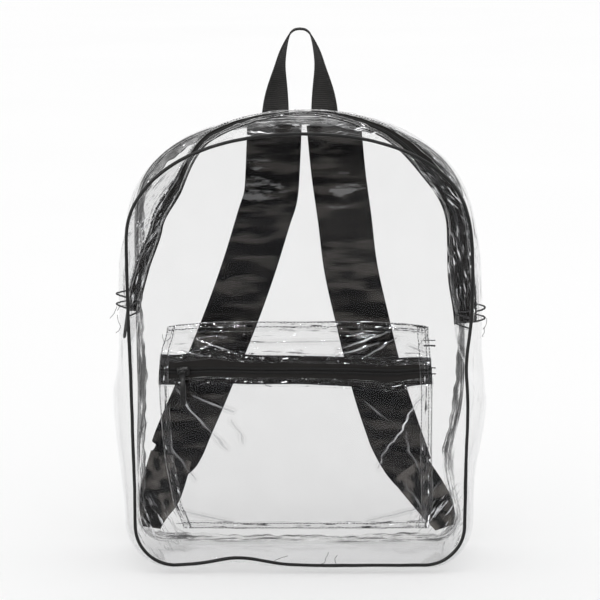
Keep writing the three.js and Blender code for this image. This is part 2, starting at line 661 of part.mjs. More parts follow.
// The pull tab: an eye round the pin and a flat tab with a round end, as one solid.
const EYE_WALL = 0.7;
function pullGeometry() {
  const bore = PIN_RADIUS + PIN_CLEARANCE;
  const eyeShape = new THREE.Shape().absarc(0, 0, bore + EYE_WALL, 0, 2 * Math.PI, false);
  const eyeDepth = { depth: PULL_WIDTH, bevelEnabled: false, curveSegments: 12 };
  const eye = new THREE.ExtrudeGeometry(eyeShape, eyeDepth);
  const tab = new THREE.Shape();
  tab.moveTo(-PULL_WIDTH / 2, 0);
  tab.lineTo(-PULL_WIDTH / 2, -PULL_LENGTH + PULL_WIDTH / 2);
  tab.absarc(0, -PULL_LENGTH + PULL_WIDTH / 2, PULL_WIDTH / 2, Math.PI, 2 * Math.PI, false);
  tab.lineTo(PULL_WIDTH / 2, 0);
  const plateDepth = { depth: PULL_THICK, bevelEnabled: false, curveSegments: 8 };
  const plate = new THREE.ExtrudeGeometry(tab, plateDepth);
  plate.translate(0, 0, -PULL_THICK / 2).rotateX(Math.PI / 2);
  eye.translate(0, 0, -PULL_WIDTH / 2).rotateY(Math.PI / 2);
  const hole = new THREE.CylinderGeometry(bore, bore, PULL_WIDTH * 2, 16).rotateZ(Math.PI / 2);
  return fromManifold(toManifold(plate).add(toManifold(eye)).subtract(toManifold(hole)));
}

// The slider rides proud of the teeth, which stand half their height out of the tape's middle.
const SLIDER_SEAT = COIL_HEIGHT / 2 + GAP;
function addSlider(name, place, pinWay, outWay, lean, across, tall) {
  const mount = new THREE.Group();
  const inWay = outWay.clone().negate();
  mount.position.copy(place);
  mount.setRotationFromMatrix(
    new THREE.Matrix4().makeBasis(pinWay, inWay, new THREE.Vector3().crossVectors(pinWay, inWay)),
  );
  add(`${name}_slider`, sliderGeometry(across, tall), blackMetal, mount);
  const pull = add(`${name}_pull`, pullGeometry(), blackMetal, mount);
  pull.position.set(0, -PIN_OUT, 0);
  pull.rotation.x = -lean;
  bag.add(mount);
}
const sliderAcross = POCKET_SLIDER_FROM_LEFT / POCKET_WIDTH;
const halfSlider = SLIDER_LENGTH / 2 / POCKET_WIDTH;
const teethAt = (across) => pocketPoint(across, POCKET_ZIP_HEIGHT);
const teethWay = teethAt(sliderAcross + halfSlider).sub(teethAt(sliderAcross - halfSlider)).normalize();
const risingWay = pocketPoint(sliderAcross, zipBandTop).sub(pocketPoint(sliderAcross, zipBandBottom));
const pocketOut = teethWay.clone().cross(risingWay).normalize();
const pocketSeat = teethAt(sliderAcross).addScaledVector(pocketOut, SLIDER_SEAT);
addSlider("pocket_zip", pocketSeat, teethWay, pocketOut, 0, SLIDER_LENGTH, SLIDER_WIDTH);

// The arch zip's slider is parked at its left end, and its pull leans on the bulge of the gusset.
const sliderShare = ZIP_LEFT - (SLIDER_LENGTH / 2 + 1) / LOOP_LENGTH;
const seatFrame = tapeFrame(sliderShare);
const sliderOut = seatFrame.up;
const mainSeat = seatFrame.centre.clone().addScaledVector(sliderOut, SLIDER_SEAT);
const belowShare = sliderShare + PULL_LENGTH / LOOP_LENGTH;
const below = gussetPoint(belowShare, tapeMiddle).sub(mainSeat).dot(sliderOut);
const lean = Math.atan2(below + SHEET + PULL_THICK - PIN_OUT, PULL_LENGTH);
const pinWay = seatFrame.across.clone().negate();
addSlider("main_zip", mainSeat, pinWay, sliderOut, Math.max(lean, 0), SLIDER_WIDTH, SLIDER_LENGTH);

// A strap laid along a table's middle line on the back of the bag, square to its own run.
function strapLine(table, along) {
  const value = (column) => readTable(table, "along", along, column);
  const off = HALF_DEPTH + PIPING_RADIUS + GAP + STRAP_THICK / 2 + value("off") * STRAP_BOW;
  return new THREE.Vector3((value("side") * BACK_WIDTH) / 2, off, value("height") * BACK_TOP);
}
function bandAcross(line, at, width, v) {
  const step = 0.01;
  const run = line(Math.min(at + step, 1)).sub(line(Math.max(at - step, 0)));
  const across = new THREE.Vector3(run.z, 0, -run.x).normalize();
  return line(at).addScaledVector(across, (v - 0.5) * width);
}
function addStrap(side, strapTable, webbingTable) {
  const strapSkin = (u, v) => bandAcross((at) => strapLine(strapTable, at), u, STRAP_WIDTH, v);
  add(`shoulder_strap_${side}`, sheet(strapSkin, 20, 4, STRAP_THICK), blackStrap);
  const seat = HALF_DEPTH + PIPING_RADIUS + GAP + WEBBING_THICK / 2;
  const under = (STRAP_THICK + WEBBING_THICK) / 2 + 2 * GAP;
  const away = strapLine(strapTable, 1).y - under - seat;
  const webbingLine = (at) => {
    const value = (column) => readTable(webbingTable, "along", at, column);
    const x = (value("side") * BACK_WIDTH) / 2;
    return new THREE.Vector3(x, seat + value("off") * away, value("height") * BACK_TOP);
  };
  const webbingSkin = (u, v) => {
    const width = WEBBING_WIDTH * readTable(webbingTable, "along", u, "width");
    return bandAcross(webbingLine, u, width, v);
  };
  add(`lower_webbing_${side}`, sheet(webbingSkin, 7, 2, WEBBING_THICK), blackWebbing);
}
addStrap("left", LEFT_STRAP_LINE, LEFT_WEBBING_LINE);
addStrap("right", RIGHT_STRAP_LINE, RIGHT_WEBBING_LINE);

// The carry loop stands on the back seam's crown.
const HANDLE_SEAT = BACK_TOP + PIPING_RADIUS + GAP;
function handlePoint(u, v) {
  const half = u <= 0.5 ? u : 1 - u;
  const sign = u <= 0.5 ? -1 : 1;
  const value = (column) => readTable(HANDLE_LINE, "along", half, column);
  const turn = THREE.MathUtils.degToRad(value("turn"));
  const x = (sign * value("side") * HANDLE_SPREAD) / 2;
  const z = HANDLE_SEAT + value("rise") * HANDLE_RISE;
  const reach = (v - 0.5) * HANDLE_WIDTH;
  const y = HALF_DEPTH + HANDLE_THICK / 2 + Math.sin(turn) * reach;
  return new THREE.Vector3(x - sign * Math.cos(turn) * reach, y, z);
}
add("carry_handle", sheet(handlePoint, 28, 2, HANDLE_THICK), blackWebbing);

export default bag;
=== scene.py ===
# %% [markdown]
# A clear backpack, made in Blender around its own solid model, which gives every piece its place.
# Here each piece gets its real surface: creased clear sheet, glossy piping, woven tape, moulded
# teeth, ribbed webbing and cloth straps. All shapes are grids of points worked out with numpy, in
# millimetres, and put into meshes in metres.

import json
import math

import bmesh
import bpy
import numpy as np
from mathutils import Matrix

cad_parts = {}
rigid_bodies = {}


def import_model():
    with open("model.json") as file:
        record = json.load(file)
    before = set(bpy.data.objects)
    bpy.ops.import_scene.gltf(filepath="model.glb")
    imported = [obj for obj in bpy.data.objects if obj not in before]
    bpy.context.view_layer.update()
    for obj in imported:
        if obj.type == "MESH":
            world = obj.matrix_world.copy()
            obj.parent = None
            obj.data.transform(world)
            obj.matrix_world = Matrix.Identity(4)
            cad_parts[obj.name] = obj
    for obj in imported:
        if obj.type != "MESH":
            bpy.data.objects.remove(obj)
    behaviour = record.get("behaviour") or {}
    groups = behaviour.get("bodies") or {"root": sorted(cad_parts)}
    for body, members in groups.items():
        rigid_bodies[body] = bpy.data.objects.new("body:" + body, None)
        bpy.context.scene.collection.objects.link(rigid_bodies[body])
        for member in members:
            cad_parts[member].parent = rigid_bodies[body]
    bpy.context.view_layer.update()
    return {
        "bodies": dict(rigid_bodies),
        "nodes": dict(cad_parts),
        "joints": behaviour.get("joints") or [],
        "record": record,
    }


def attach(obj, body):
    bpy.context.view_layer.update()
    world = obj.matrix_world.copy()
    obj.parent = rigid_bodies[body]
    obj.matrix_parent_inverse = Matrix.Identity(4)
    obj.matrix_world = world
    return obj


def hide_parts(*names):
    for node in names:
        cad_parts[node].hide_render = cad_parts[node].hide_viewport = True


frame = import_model()

MM = 0.001

# %% [markdown]
# The photograph looks at the front from a little above, from far away with a long lens, so that the
# far side of the bag is hardly smaller than the near side. A camera 2.6 m away with a field of view
# of 12.55 degrees gives the same picture.

# %% Camera
CAMERA_DISTANCE = 2.6
CAMERA_ELEVATION = math.radians(8)
AIM_HEIGHT = 0.251
FIELD_OF_VIEW = math.radians(12.552)

camera_data = bpy.data.cameras.new("camera")
camera_data.angle = FIELD_OF_VIEW
camera = bpy.data.objects.new("camera", camera_data)
camera.location = (
    0,
    -CAMERA_DISTANCE * math.cos(CAMERA_ELEVATION),
    AIM_HEIGHT + CAMERA_DISTANCE * math.sin(CAMERA_ELEVATION),
)
camera.rotation_euler = (math.pi / 2 - CAMERA_ELEVATION, 0, 0)
bpy.context.scene.collection.objects.link(camera)
bpy.context.scene.camera = camera
print("camera lens", round(camera_data.lens, 1), "mm")

# %% [markdown]
# The bag's sizes drive every surface below. They are the same sizes that the solid model is built
# from: two seams, one in front and one behind, joined by a gusset.

# %% Sizes of the bag, in millimetres
BAG_DEPTH = 127.0
HALF_DEPTH = BAG_DEPTH / 2
ARCH_RISE = 98.0
BACK_WIDTH = 319.0
BACK_TOP = 420.0
PIPING_RADIUS = 1.6
SHEET = 1.0
GAP = 0.3
FRONT_DOME = 8.0
BACK_BOW = 2.5
ZIP_LEFT_END = 243.0
ZIP_RIGHT_END = 230.0
TAPE_WIDTH = 30.0
COIL_WIDTH = 6.0
EDGE_INSET = PIPING_RADIUS + GAP

FRONT_FACE = {
    "half_arch": 161.0,
    "half_foot": 155.0,
    "bottom": 7.5,
    "top": 414.5,
    "corner": 38.0,
    "power": {-1: 2.1, 1: 2.2},
    "wave": {"height": 7.0, "middle": -0.36, "reach": 0.2},
    "dents": [
        {"side": 1, "height": 0.48, "depth": 0.022, "reach": 0.07},
        {"side": 1, "height": 0.82, "depth": 0.018, "reach": 0.08},
    ],
}
BACK_FACE = {
    "half_arch": BACK_WIDTH / 2,
    "half_foot": BACK_WIDTH / 2,
    "bottom": 2.2,
    "top": BACK_TOP,
    "corner": 28.0,
    "power": {-1: 2.3, 1: 2.3},
    "wave": {"height": 0.0, "middle": 0.0, "reach": 1.0},
    "dents": [
        {"side": 1, "height": 0.2, "depth": 0.075, "reach": 0.1},
        {"side": -1, "height": 0.36, "depth": 0.012, "reach": 0.14},
    ],
}

# %% [markdown]
# Long soft forms are easiest to steer by a few stations: a small table says how the form lies at
# each, and a smooth curve is drawn through each column. A sculpted mesh would look the same but
# could not be changed by one number.

# %% How the arch zip lies, and how far the side bulges
ZIP_COLUMNS = ("along", "front_edge", "back_edge", "depth", "rear")
ZIP_LIE = [
    (0.0, -0.06, 0.05, 0.45, 0.12),
    (0.07, -0.14, -0.03, 0.45, 0.115),
    (0.13, -0.235, -0.14, 0.48, 0.06),
    (0.24, -0.25, -0.17, 0.55, 0.02),
    (0.34, -0.03, 0.01, 0.66, 0.03),
    (0.5, 0.08, 0.08, 0.6, 0.06),
    (0.62, 0.02, 0.08, 0.36, 0.08),
    (0.72, -0.13, 0.01, 0.32, 0.05),
    (0.82, -0.16, -0.01, 0.35, 0.05),
    (0.92, -0.16, 0.04, 0.4, 0.11),
    (1.0, -0.1, 0.07, 0.42, 0.13),
]
BULGE_COLUMNS = ("height", "out")
SIDE_BULGE = [(0.0, 0.075), (0.1, 0.075), (0.19, 0.1), (0.36, 0.155), (0.5, 0.14), (1.0, 0.1)]


def read_table(rows, columns, column, at):
    """The smooth curve through one column: between two rows, a cubic that has their two values and,
    at each, half the difference of that row's neighbours as its slope."""
    table = np.array(rows, float)
    keys = table[:, 0]
    values = table[:, columns.index(column)]
    last = len(keys) - 1
    place = np.clip(at, keys[0], keys[-1])
    row = np.clip(np.searchsorted(keys, place, side="right") - 1, 0, last - 1)
    t = (place - keys[row]) / (keys[row + 1] - keys[row])
    rise = 0.5 * (values[row + 1] - values[np.maximum(row - 1, 0)])
    fall = 0.5 * (values[np.minimum(row + 2, last)] - values[row])
    start = (2 * t**3 - 3 * t**2 + 1) * values[row] + (t**3 - 2 * t**2 + t) * rise
    return start + (3 * t**2 - 2 * t**3) * values[row + 1] + (t**3 - t**2) * fall


def smooth(x, low, high):
    """0 below low, 1 above high, and between them the cubic 3t^2 - 2t^3."""
    t = np.clip((x - low) / (high - low), 0, 1)
    return t * t * (3 - 2 * t)


print("zip stations", len(ZIP_LIE), "bulge stations", len(SIDE_BULGE))

# %% [markdown]
# Each seam is a D on its flat side: a straight bottom with round corners, two nearly straight sides
# and an arch. The arch is a superellipse, an ellipse whose power says how full its shoulders are.
# Small dents pull a side in, where the real sheet was pulled while it was sewn.

# %% The two seam outlines
OUTLINE_SAMPLES = 240


def half_outline(face, side):
    """From the middle of the bottom up one side to the crown: a straight, a quarter circle, a side
    whose half width eases from foot to arch, and a quarter superellipse. Then x is pulled in by each
    dent's bell curve, and the bottom is lifted by the wave's bell curve."""
    springs = face["top"] - ARCH_RISE
    corner = face["corner"]
    corner_top = face["bottom"] + corner
    t = np.arange(OUTLINE_SAMPLES) / OUTLINE_SAMPLES
    turn = np.pi / 2 * t
    arch = np.pi / 2 * np.arange(OUTLINE_SAMPLES + 1) / OUTLINE_SAMPLES
    power = 2 / face["power"][side]
    width = face["half_foot"] + (face["half_arch"] - face["half_foot"]) * smooth(t, 0, 1)
    x = np.concatenate([
        (face["half_foot"] - corner) * t,
        face["half_foot"] - corner + corner * np.sin(turn),
        width,
        face["half_arch"] * np.maximum(np.cos(arch), 0) ** power,
    ])
    z = np.concatenate([
        np.full_like(t, face["bottom"]),
        corner_top - corner * np.cos(turn),
        corner_top + (springs - corner_top) * t,
        springs + ARCH_RISE * np.sin(arch) ** power,
    ])
    pulled = x.copy()
    for dent in face["dents"]:
        if dent["side"] == side:
            away = (z / face["top"] - dent["height"]) / dent["reach"]
            pulled -= dent["depth"] * x * np.exp(-away * away)
    wave = face["wave"]
    sway = side * pulled / face["half_arch"] - wave["middle"]
    low = 1 - smooth(z, face["bottom"], corner_top)
    lift = wave["height"] * low * np.exp(-((sway / wave["reach"]) ** 2))
    return np.stack([side * pulled, z + lift], axis=-1)


def whole_outline(face):
    """Up the right side, over the crown and down the left side, as one closed list."""
    return np.concatenate([half_outline(face, 1), half_outline(face, -1)[:-1][::-1]])


front_line = whole_outline(FRONT_FACE)
back_line = whole_outline(BACK_FACE)
steps_between = np.linalg.norm(np.diff(front_line, axis=0), axis=1)
loop_lengths = np.concatenate([[0.0], np.cumsum(steps_between)])
LOOP_LENGTH = loop_lengths[-1]


print("outline points", len(front_line), len(back_line))


# %% [markdown]
# All later pieces ask the seams two things: where is a share of the way round, and which way is out
# of the bag there. Both seams use the front seam's length, so that equal shares face each other.

# %% Places along the seams
def seam_point(line, share):
    """The outline's point at a share of the way round, by the front seam's length."""
    target = np.mod(share, 1.0) * LOOP_LENGTH
    x = np.interp(target, loop_lengths, line[:, 0])
    z = np.interp(target, loop_lengths, line[:, 1])
    return np.stack([x, z], axis=-1)


def outward_at(share):
    """The unit direction out of the bag: the middle seam's own direction, turned a quarter."""
    step = 6 / LOOP_LENGTH
    ahead = seam_point(front_line, share + step) + seam_point(back_line, share + step)
    behind = seam_point(front_line, share - step) + seam_point(back_line, share - step)
    along = ahead - behind
    along = along / np.linalg.norm(along, axis=-1, keepdims=True)
    return np.stack([along[..., 1], -along[..., 0]], axis=-1)


def share_at_height(side, height):
    """The share of the way round at which one side passes a height."""
    crown = int(np.argmax(front_line[:, 1]))
    order = np.arange(len(front_line))
    if side > 0:
        passed = (order < crown) & (front_line[:, 1] >= height)
    else:
        passed = (order > crown) & (front_line[:, 1] <= height)
    return loop_lengths[int(np.argmax(passed))] / LOOP_LENGTH


ZIP_RIGHT = share_at_height(1, ZIP_RIGHT_END)
ZIP_LEFT = share_at_height(-1, ZIP_LEFT_END)
ZIP_LENGTH = (ZIP_LEFT - ZIP_RIGHT) * LOOP_LENGTH
print("seam length", round(LOOP_LENGTH), "mm, zip length", round(ZIP_LENGTH), "mm")

# %% [markdown]
# The gusset joins the two seams. Its section is one smooth curve through five points: the front
# seam, both edges of the zip tape, the middle of the strip behind it, and the back seam. Where there
# is no zip they make a plain bulge, and the floor flattens the base. One function for the whole
# gusset keeps the zip, its strips and the lower band flush with each other.

# %% The gusset as one skin
EASE_LENGTH = 75.0
TAPE_FROM, TAPE_TO = 0.25, 0.5
TAPE_MIDDLE = (TAPE_FROM + TAPE_TO) / 2


def zip_section(along):
    """Five points as (out, y): the tape's middle sits at its depth, and its run in y is the square
    root of width^2 - step^2, where step is how much further out one edge lies than the other."""

    def value(column):
        return read_table(ZIP_LIE, ZIP_COLUMNS, column, along)

    front_out = value("front_edge") * BAG_DEPTH
    back_out = value("back_edge") * BAG_DEPTH
    middle = -HALF_DEPTH + BAG_DEPTH * value("depth")
    run = np.sqrt(np.maximum(TAPE_WIDTH**2 - (back_out - front_out) ** 2, 1))
    inner = HALF_DEPTH - EDGE_INSET
    nought = np.zeros_like(middle)
    out = np.stack([nought, front_out, back_out, value("rear") * BAG_DEPTH, nought], axis=-1)
    behind = (middle + run / 2 + HALF_DEPTH) / 2
    y = np.stack([nought - inner, middle - run / 2, middle + run / 2, behind, nought + inner], axis=-1)
    return np.stack([out, y], axis=-1)


def plain_section(share):
    """Five points of a bulge whose height comes from the side table."""
    height = seam_point(front_line, share)[..., 1] / BACK_TOP
    out = read_table(SIDE_BULGE, BULGE_COLUMNS, "out", height) * BAG_DEPTH
    inner = HALF_DEPTH - EDGE_INSET
    nought = np.zeros_like(out)
    outs = np.stack([nought, out * 0.9, out, out * 0.9, nought], axis=-1)
    ys = nought[..., None] + inner * np.array([-1.0, -0.55, 0.0, 0.55, 1.0])
    return np.stack([outs, ys], axis=-1)


def section_curve(points, across):
    """A smooth curve through the five points, blended from straight runs between knots. The knots are
    spaced by the square root of the points' distance, so it neither loops nor overshoots."""
    first = 2 * points[..., :1, :] - points[..., 1:2, :]
    last = 2 * points[..., -1:, :] - points[..., -2:-1, :]
    padded = np.concatenate([first, points, last], axis=-2)
    place = np.clip(across, 0, 1) * 4
    span = np.clip(np.floor(place).astype(int), 0, 3)
    t = (place - span)[..., None]

    def pick(offset):
        return np.take_along_axis(padded, (span + offset)[..., None, None], axis=-2)[..., 0, :]

    def knot(a, b):
        return np.sqrt(np.linalg.norm(b - a, axis=-1, keepdims=True))

    p0, p1, p2, p3 = pick(0), pick(1), pick(2), pick(3)
    d0, d1, d2 = knot(p0, p1), knot(p1, p2), knot(p2, p3)
    slope1 = ((p1 - p0) / d0 - (p2 - p0) / (d0 + d1) + (p2 - p1) / d1) * d1
    slope2 = ((p2 - p1) / d1 - (p3 - p1) / (d1 + d2) + (p3 - p2) / d2) * d1
    start = (2 * t**3 - 3 * t**2 + 1) * p1 + (t**3 - 2 * t**2 + t) * slope1
    return start + (3 * t**2 - 2 * t**3) * p2 + (t**3 - t**2) * slope2


print("zip section at the crown", np.round(zip_section(np.array([0.5])), 1).tolist())


# %% [markdown]
# One function now gives any point of the gusset. Between the zip and the plain band the two kinds of
# section ease into each other, and the result is set out square to the line between the seams.

# %% Any point of the gusset
def gusset_point(share, across):
    """The skin's point: the section's out and y, set out square to the line between the two seams."""
    share, across = np.broadcast_arrays(np.asarray(share, float), np.asarray(across, float))
    turned = np.mod(share, 1.0)
    along = np.clip((ZIP_LEFT - turned) / (ZIP_LEFT - ZIP_RIGHT), 0, 1)
    past = np.maximum(np.maximum(ZIP_RIGHT - turned, turned - ZIP_LEFT), 0) * LOOP_LENGTH
    ease = smooth(past, 0, EASE_LENGTH)[..., None, None]
    points = zip_section(along) * (1 - ease) + plain_section(share) * ease
    at = section_curve(points, across)
    depth = ((at[..., 1] + HALF_DEPTH) / BAG_DEPTH)[..., None]
    base = seam_point(front_line, share) * (1 - depth) + seam_point(back_line, share) * depth
    place = base + outward_at(share) * at[..., :1]
    floor = np.maximum(place[..., 1], SHEET / 2)
    return np.stack([place[..., 0], at[..., 1], floor], axis=-1)


check = gusset_point(np.array([0.0, 0.25, 0.5]), 0.5)
print("gusset at the base, a side and the crown", np.round(check, 1).tolist())

# %% [markdown]
# Every soft piece is made from a grid of points. The grid is set into a mesh as quads, with a UV map
# in real metres, so that weave and stitches keep their size on every piece. A thin sheet gets its
# thickness from a Solidify modifier; a strap or piping is a closed tube of its own.

# %% From grids of points to meshes
def grid_faces(rows, columns, wrap_rows, wrap_columns):
    """The quads between neighbouring points: each point, the next in its row, that one's neighbour
    in the next row, and the point below the first."""
    down = np.arange(rows if wrap_rows else rows - 1)
    across = np.arange(columns if wrap_columns else columns - 1)
    row, column = np.meshgrid(down, across, indexing="ij")
    below, beside = (row + 1) % rows, (column + 1) % columns
    corners = [(row, column), (below, column), (below, beside), (row, beside)]
    return np.stack([r * columns + c for r, c in corners], axis=-1).reshape(-1, 4)


def running_length(points, axis):
    """The mean distance from the first point to each other one along one axis of the grid."""
    steps = np.linalg.norm(np.diff(points, axis=axis), axis=-1)
    mean = steps.mean(axis=1 - axis)
    return np.concatenate([[0.0], np.cumsum(mean)])


def grid_uvs(points, wrap_rows, wrap_columns):
    """One pair for each corner of each quad: u is the length down the rows and v the length across,
    both in metres, and they run on past the last point where the grid closes on itself."""
    open_grid = points
    if wrap_rows:
        open_grid = np.concatenate([open_grid, open_grid[:1]], axis=0)
    if wrap_columns:
        open_grid = np.concatenate([open_grid, open_grid[:, :1]], axis=1)
    u, v = running_length(open_grid, 0) * MM, running_length(open_grid, 1) * MM
    row, column = np.meshgrid(np.arange(len(u) - 1), np.arange(len(v) - 1), indexing="ij")
    corners = [(row, column), (row + 1, column), (row + 1, column + 1), (row, column + 1)]
    return np.stack([np.stack([u[r], v[c]], axis=-1) for r, c in corners], axis=2).reshape(-1, 2)


def make_object(name, points, faces, uvs=None):
    """A mesh object at the origin whose points, given in millimetres, are set in metres."""
    mesh = bpy.data.meshes.new(name)
    mesh.from_pydata((np.asarray(points).reshape(-1, 3) * MM).tolist(), [], [list(f) for f in faces])
    if uvs is not None:
        layer = mesh.uv_layers.new(name="lengths")
        layer.data.foreach_set("uv", np.asarray(uvs, dtype=np.float32).ravel())
    mesh.polygons.foreach_set("use_smooth", np.ones(len(mesh.polygons), dtype=bool))
    mesh.update()
    made = bpy.data.objects.new(name, mesh)
    bpy.context.scene.collection.objects.link(made)
    return made


def grid_object(name, points, wrap_rows=False, wrap_columns=False):
    """A grid as an object. A grid that closes across but not down is a tube, and gets two end caps."""
    rows, columns = points.shape[:2]
    faces = grid_faces(rows, columns, wrap_rows, wrap_columns).tolist()
    uvs = grid_uvs(points, wrap_rows, wrap_columns)
    if wrap_columns and not wrap_rows:
        last = (rows - 1) * columns
        faces.append(list(range(columns)))
        faces.append([last + c for c in reversed(range(columns))])
        uvs = np.concatenate([uvs, np.zeros((2 * columns, 2))])
    return make_object(name, points, faces, uvs)


print("a grid of 3 by 4 points has", len(grid_faces(3, 4, False, False)), "quads")


# %% [markdown]
# Three more helpers finish a piece: one gives a sheet its thickness with a modifier, one finds the
# directions to move its points in, and one gives the piece its finish and body and hides the solids it
# stands for.

# %% Thickness, directions and ownership
def sheet_object(name, points, thickness, wrap_rows=False):
    """A grid as a sheet of one thickness, half of it on each side of the points."""
    made = grid_object(name, points, wrap_rows=wrap_rows)
    solid = made.modifiers.new("thickness", "SOLIDIFY")
    solid.thickness = thickness * MM
    solid.offset = 0
    solid.material_offset_rim = 1
    return made


def grid_normals(points, wrap_rows=False):
    """The unit normal at each point: the cross product of the central differences both ways."""
    if wrap_rows:
        down = np.roll(points, -1, axis=0) - np.roll(points, 1, axis=0)
    else:
        down = np.gradient(points, axis=0)
    across = np.gradient(points, axis=1)
    normal = np.cross(down, across)
    return normal / np.maximum(np.linalg.norm(normal, axis=-1, keepdims=True), 1e-9)


def unit(vector):
    """A vector's direction: the vector over its own length."""
    return vector / np.linalg.norm(vector)


def own(piece, finish, nodes=(), body="root", edge=None):
    """Gives a piece its material and its body, and hides the solids that it stands for.
    edge is the finish of a sheet's cut edge, where that differs."""
    piece.data.materials.clear()
    piece.data.materials.append(finish)
    if edge is not None:
        piece.data.materials.append(edge)
    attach(piece, body)
    if nodes:
        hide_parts(*nodes)
    return piece


print("mesh makers ready")

# %% [markdown]
# Materials are node trees. Written out node by node they hide what they do, so one small class wraps
# a socket and lets numbers on it be added and multiplied like numbers, and one method makes any
# other node from its type, its settings and its sockets.

# %% Arithmetic for materials
class Wire:
    """An output socket of a material. Plus, minus, times and so on make a Math node each."""

    def __init__(self, tree, socket):
        self.tree = tree
        self.socket = socket

    def math(self, operation, *values):
        """One Math node on the given values."""
        node = self.tree.nodes.new("ShaderNodeMath")
        node.operation = operation
        for socket, value in zip(node.inputs, values):
            feed(self.tree, socket, value)
        return Wire(self.tree, node.outputs[0])

    def __add__(self, other):
        return self.math("ADD", self, other)

    def __radd__(self, other):
        return self.math("ADD", other, self)

    def __sub__(self, other):
        return self.math("SUBTRACT", self, other)

    def __rsub__(self, other):
        return self.math("SUBTRACT", other, self)

    def __mul__(self, other):
        return self.math("MULTIPLY", self, other)

    def __rmul__(self, other):
        return self.math("MULTIPLY", other, self)

    def __truediv__(self, other):
        return self.math("DIVIDE", self, other)

    def __rtruediv__(self, other):
        return self.math("DIVIDE", other, self)

    def __pow__(self, other):
        return self.math("POWER", self, other)

    def wave(self):
        """The sine, for ribs and threads."""
        return self.math("SINE", self)

    def clamp(self, low, high):
        """Held between two limits."""
        return self.math("MINIMUM", self.math("MAXIMUM", self, low), high)


def feed(tree, socket, value):
    """Links a wire to an input socket, or sets a plain number or colour on it."""
    if isinstance(value, Wire):
        tree.links.new(value.socket, socket)
    else:
        socket.default_value = value


print("sockets add, multiply, clamp and wave")


# %% [markdown]
# A finish is one Principled shader. Its helpers stand for what a maker would ask of a surface: its
# own lengths, its place in the bag, cloudy unevenness, a mixed colour, a relief.

# %% A finish and its helpers
class Finish:
    """A material with one Principled shader, and the methods that add nodes in front of it."""

    def __init__(self, name, **sockets):
        self.material = bpy.data.materials.new(name)
        self.material.use_nodes = True
        self.tree = self.material.node_tree
        self.shader = self.tree.nodes["Principled BSDF"]
        self.set(**sockets)

    def set(self, **sockets):
        """Feeds the shader's own sockets, named with underscores for spaces."""
        for name, value in sockets.items():
            feed(self.tree, self.shader.inputs[name.replace("_", " ")], value)
        return self

    def node(self, kind, settings=None, sockets=None, output=0):
        """Any node: its type, its settings by name, its sockets by name or number."""
        made = self.tree.nodes.new(kind)
        for key, value in (settings or {}).items():
            setattr(made, key, value)
        for key, value in (sockets or {}).items():
            feed(self.tree, made.inputs[key], value)
        return Wire(self.tree, made.outputs[output])

    def lengths(self):
        """The piece's own UV map, in metres, as a pair of numbers: down its rows and across them."""
        uv = self.node("ShaderNodeUVMap", {"uv_map": "lengths"})
        apart = self.tree.nodes.new("ShaderNodeSeparateXYZ")
        self.tree.links.new(uv.socket, apart.inputs[0])
        return Wire(self.tree, apart.outputs[0]), Wire(self.tree, apart.outputs[1])

    def place(self):
        """The point in the object's own space, in metres."""
        return self.node("ShaderNodeTexCoord", output=3)

    def noise(self, scale, detail=2.0, roughness=0.5, vector=None):
        """Cloudy noise from 0 to 1, scale times to the metre."""
        vector = vector or self.place()
        sockets = {"Vector": vector, "Scale": scale, "Detail": detail, "Roughness": roughness}
        return self.node("ShaderNodeTexNoise", sockets=sockets)

    def blend(self, factor, first, second):
        """A colour between two, by a factor from 0 to 1."""
        settings = {"data_type": "RGBA", "clamp_factor": True}
        return self.node("ShaderNodeMix", settings, {0: factor, 6: first, 7: second}, output=2)

    def relief(self, height, depth, strength=1.0, under=None):
        """Bump from a height of 0 to 1 that stands for depth in millimetres."""
        sockets = {"Height": height, "Distance": depth * MM, "Strength": strength}
        if under is not None:
            sockets["Normal"] = under
        return self.node("ShaderNodeBump", sockets=sockets)


def grey(value, warm=0.0):
    """A grey as a colour, a little warmer where warm is above 0."""
    return (value * (1 + warm), value, value * (1 - warm), 1.0)


print("material helpers ready")

# %% [markdown]
# Clear vinyl sheet lets most light through, takes a little of it, and mirrors more and more towards
# grazing angles. Refracting glass would be slow and noisy for a dozen layers; a see-through mirror
# whose coverage grows with the fifth power of the slant looks the same on so thin a sheet. Its colour
# is dark where the film counts and nearly white where the mirror counts.

# %% Clear sheet
MARKS = "marks"


def streaks(finish, down_scale, across_scale, threshold, gain):
    """Crisp streaks from 0 to 1: noise on the piece's own lengths, drawn out along its rows, with
    everything below the threshold cut off."""
    down, across = finish.lengths()
    joined = finish.node("ShaderNodeCombineXYZ", sockets={0: down * down_scale, 1: across * across_scale})
    cloud = finish.noise(1.0, 4.0, 0.65, joined)
    return ((cloud - threshold) * gain).clamp(0.0, 1.0)


# How the noise of the painted glints is stretched along three axes.
GLINT_STREAK_SIZE = (0.016, 0.05, 0.0021)


def nearness(finish, spot, reach):
    """1 at a spot, falling evenly to 0 at its reach: 1 - distance / reach."""
    sockets = {0: finish.place(), 1: spot}
    gap = finish.node("ShaderNodeVectorMath", {"operation": "DISTANCE"}, sockets, output=1)
    return (1.0 - gap / reach).clamp(0.0, 1.0)


def painted_glints(finish, places):
    """Bundles of painted glints, short white scratch-like streaks: for each place, noise drawn out along
    its slant, cut off below a threshold and faded with the distance from the place."""
    total = 0.0
    for spot, reach, slant in places:
        turn = (0.0, math.radians(slant), 0.0)
        sockets = {"Vector": finish.place(), "Rotation": turn, "Scale": GLINT_STREAK_SIZE}
        turned = finish.node("ShaderNodeMapping", {"vector_type": "TEXTURE"}, sockets)
        crisp = ((finish.noise(1.0, 3.0, 0.6, turned) - 0.56) * 11.0).clamp(0.0, 1.0)
        total = total + crisp * (1.6 * nearness(finish, spot, reach)).clamp(0.0, 1.0)
    return total


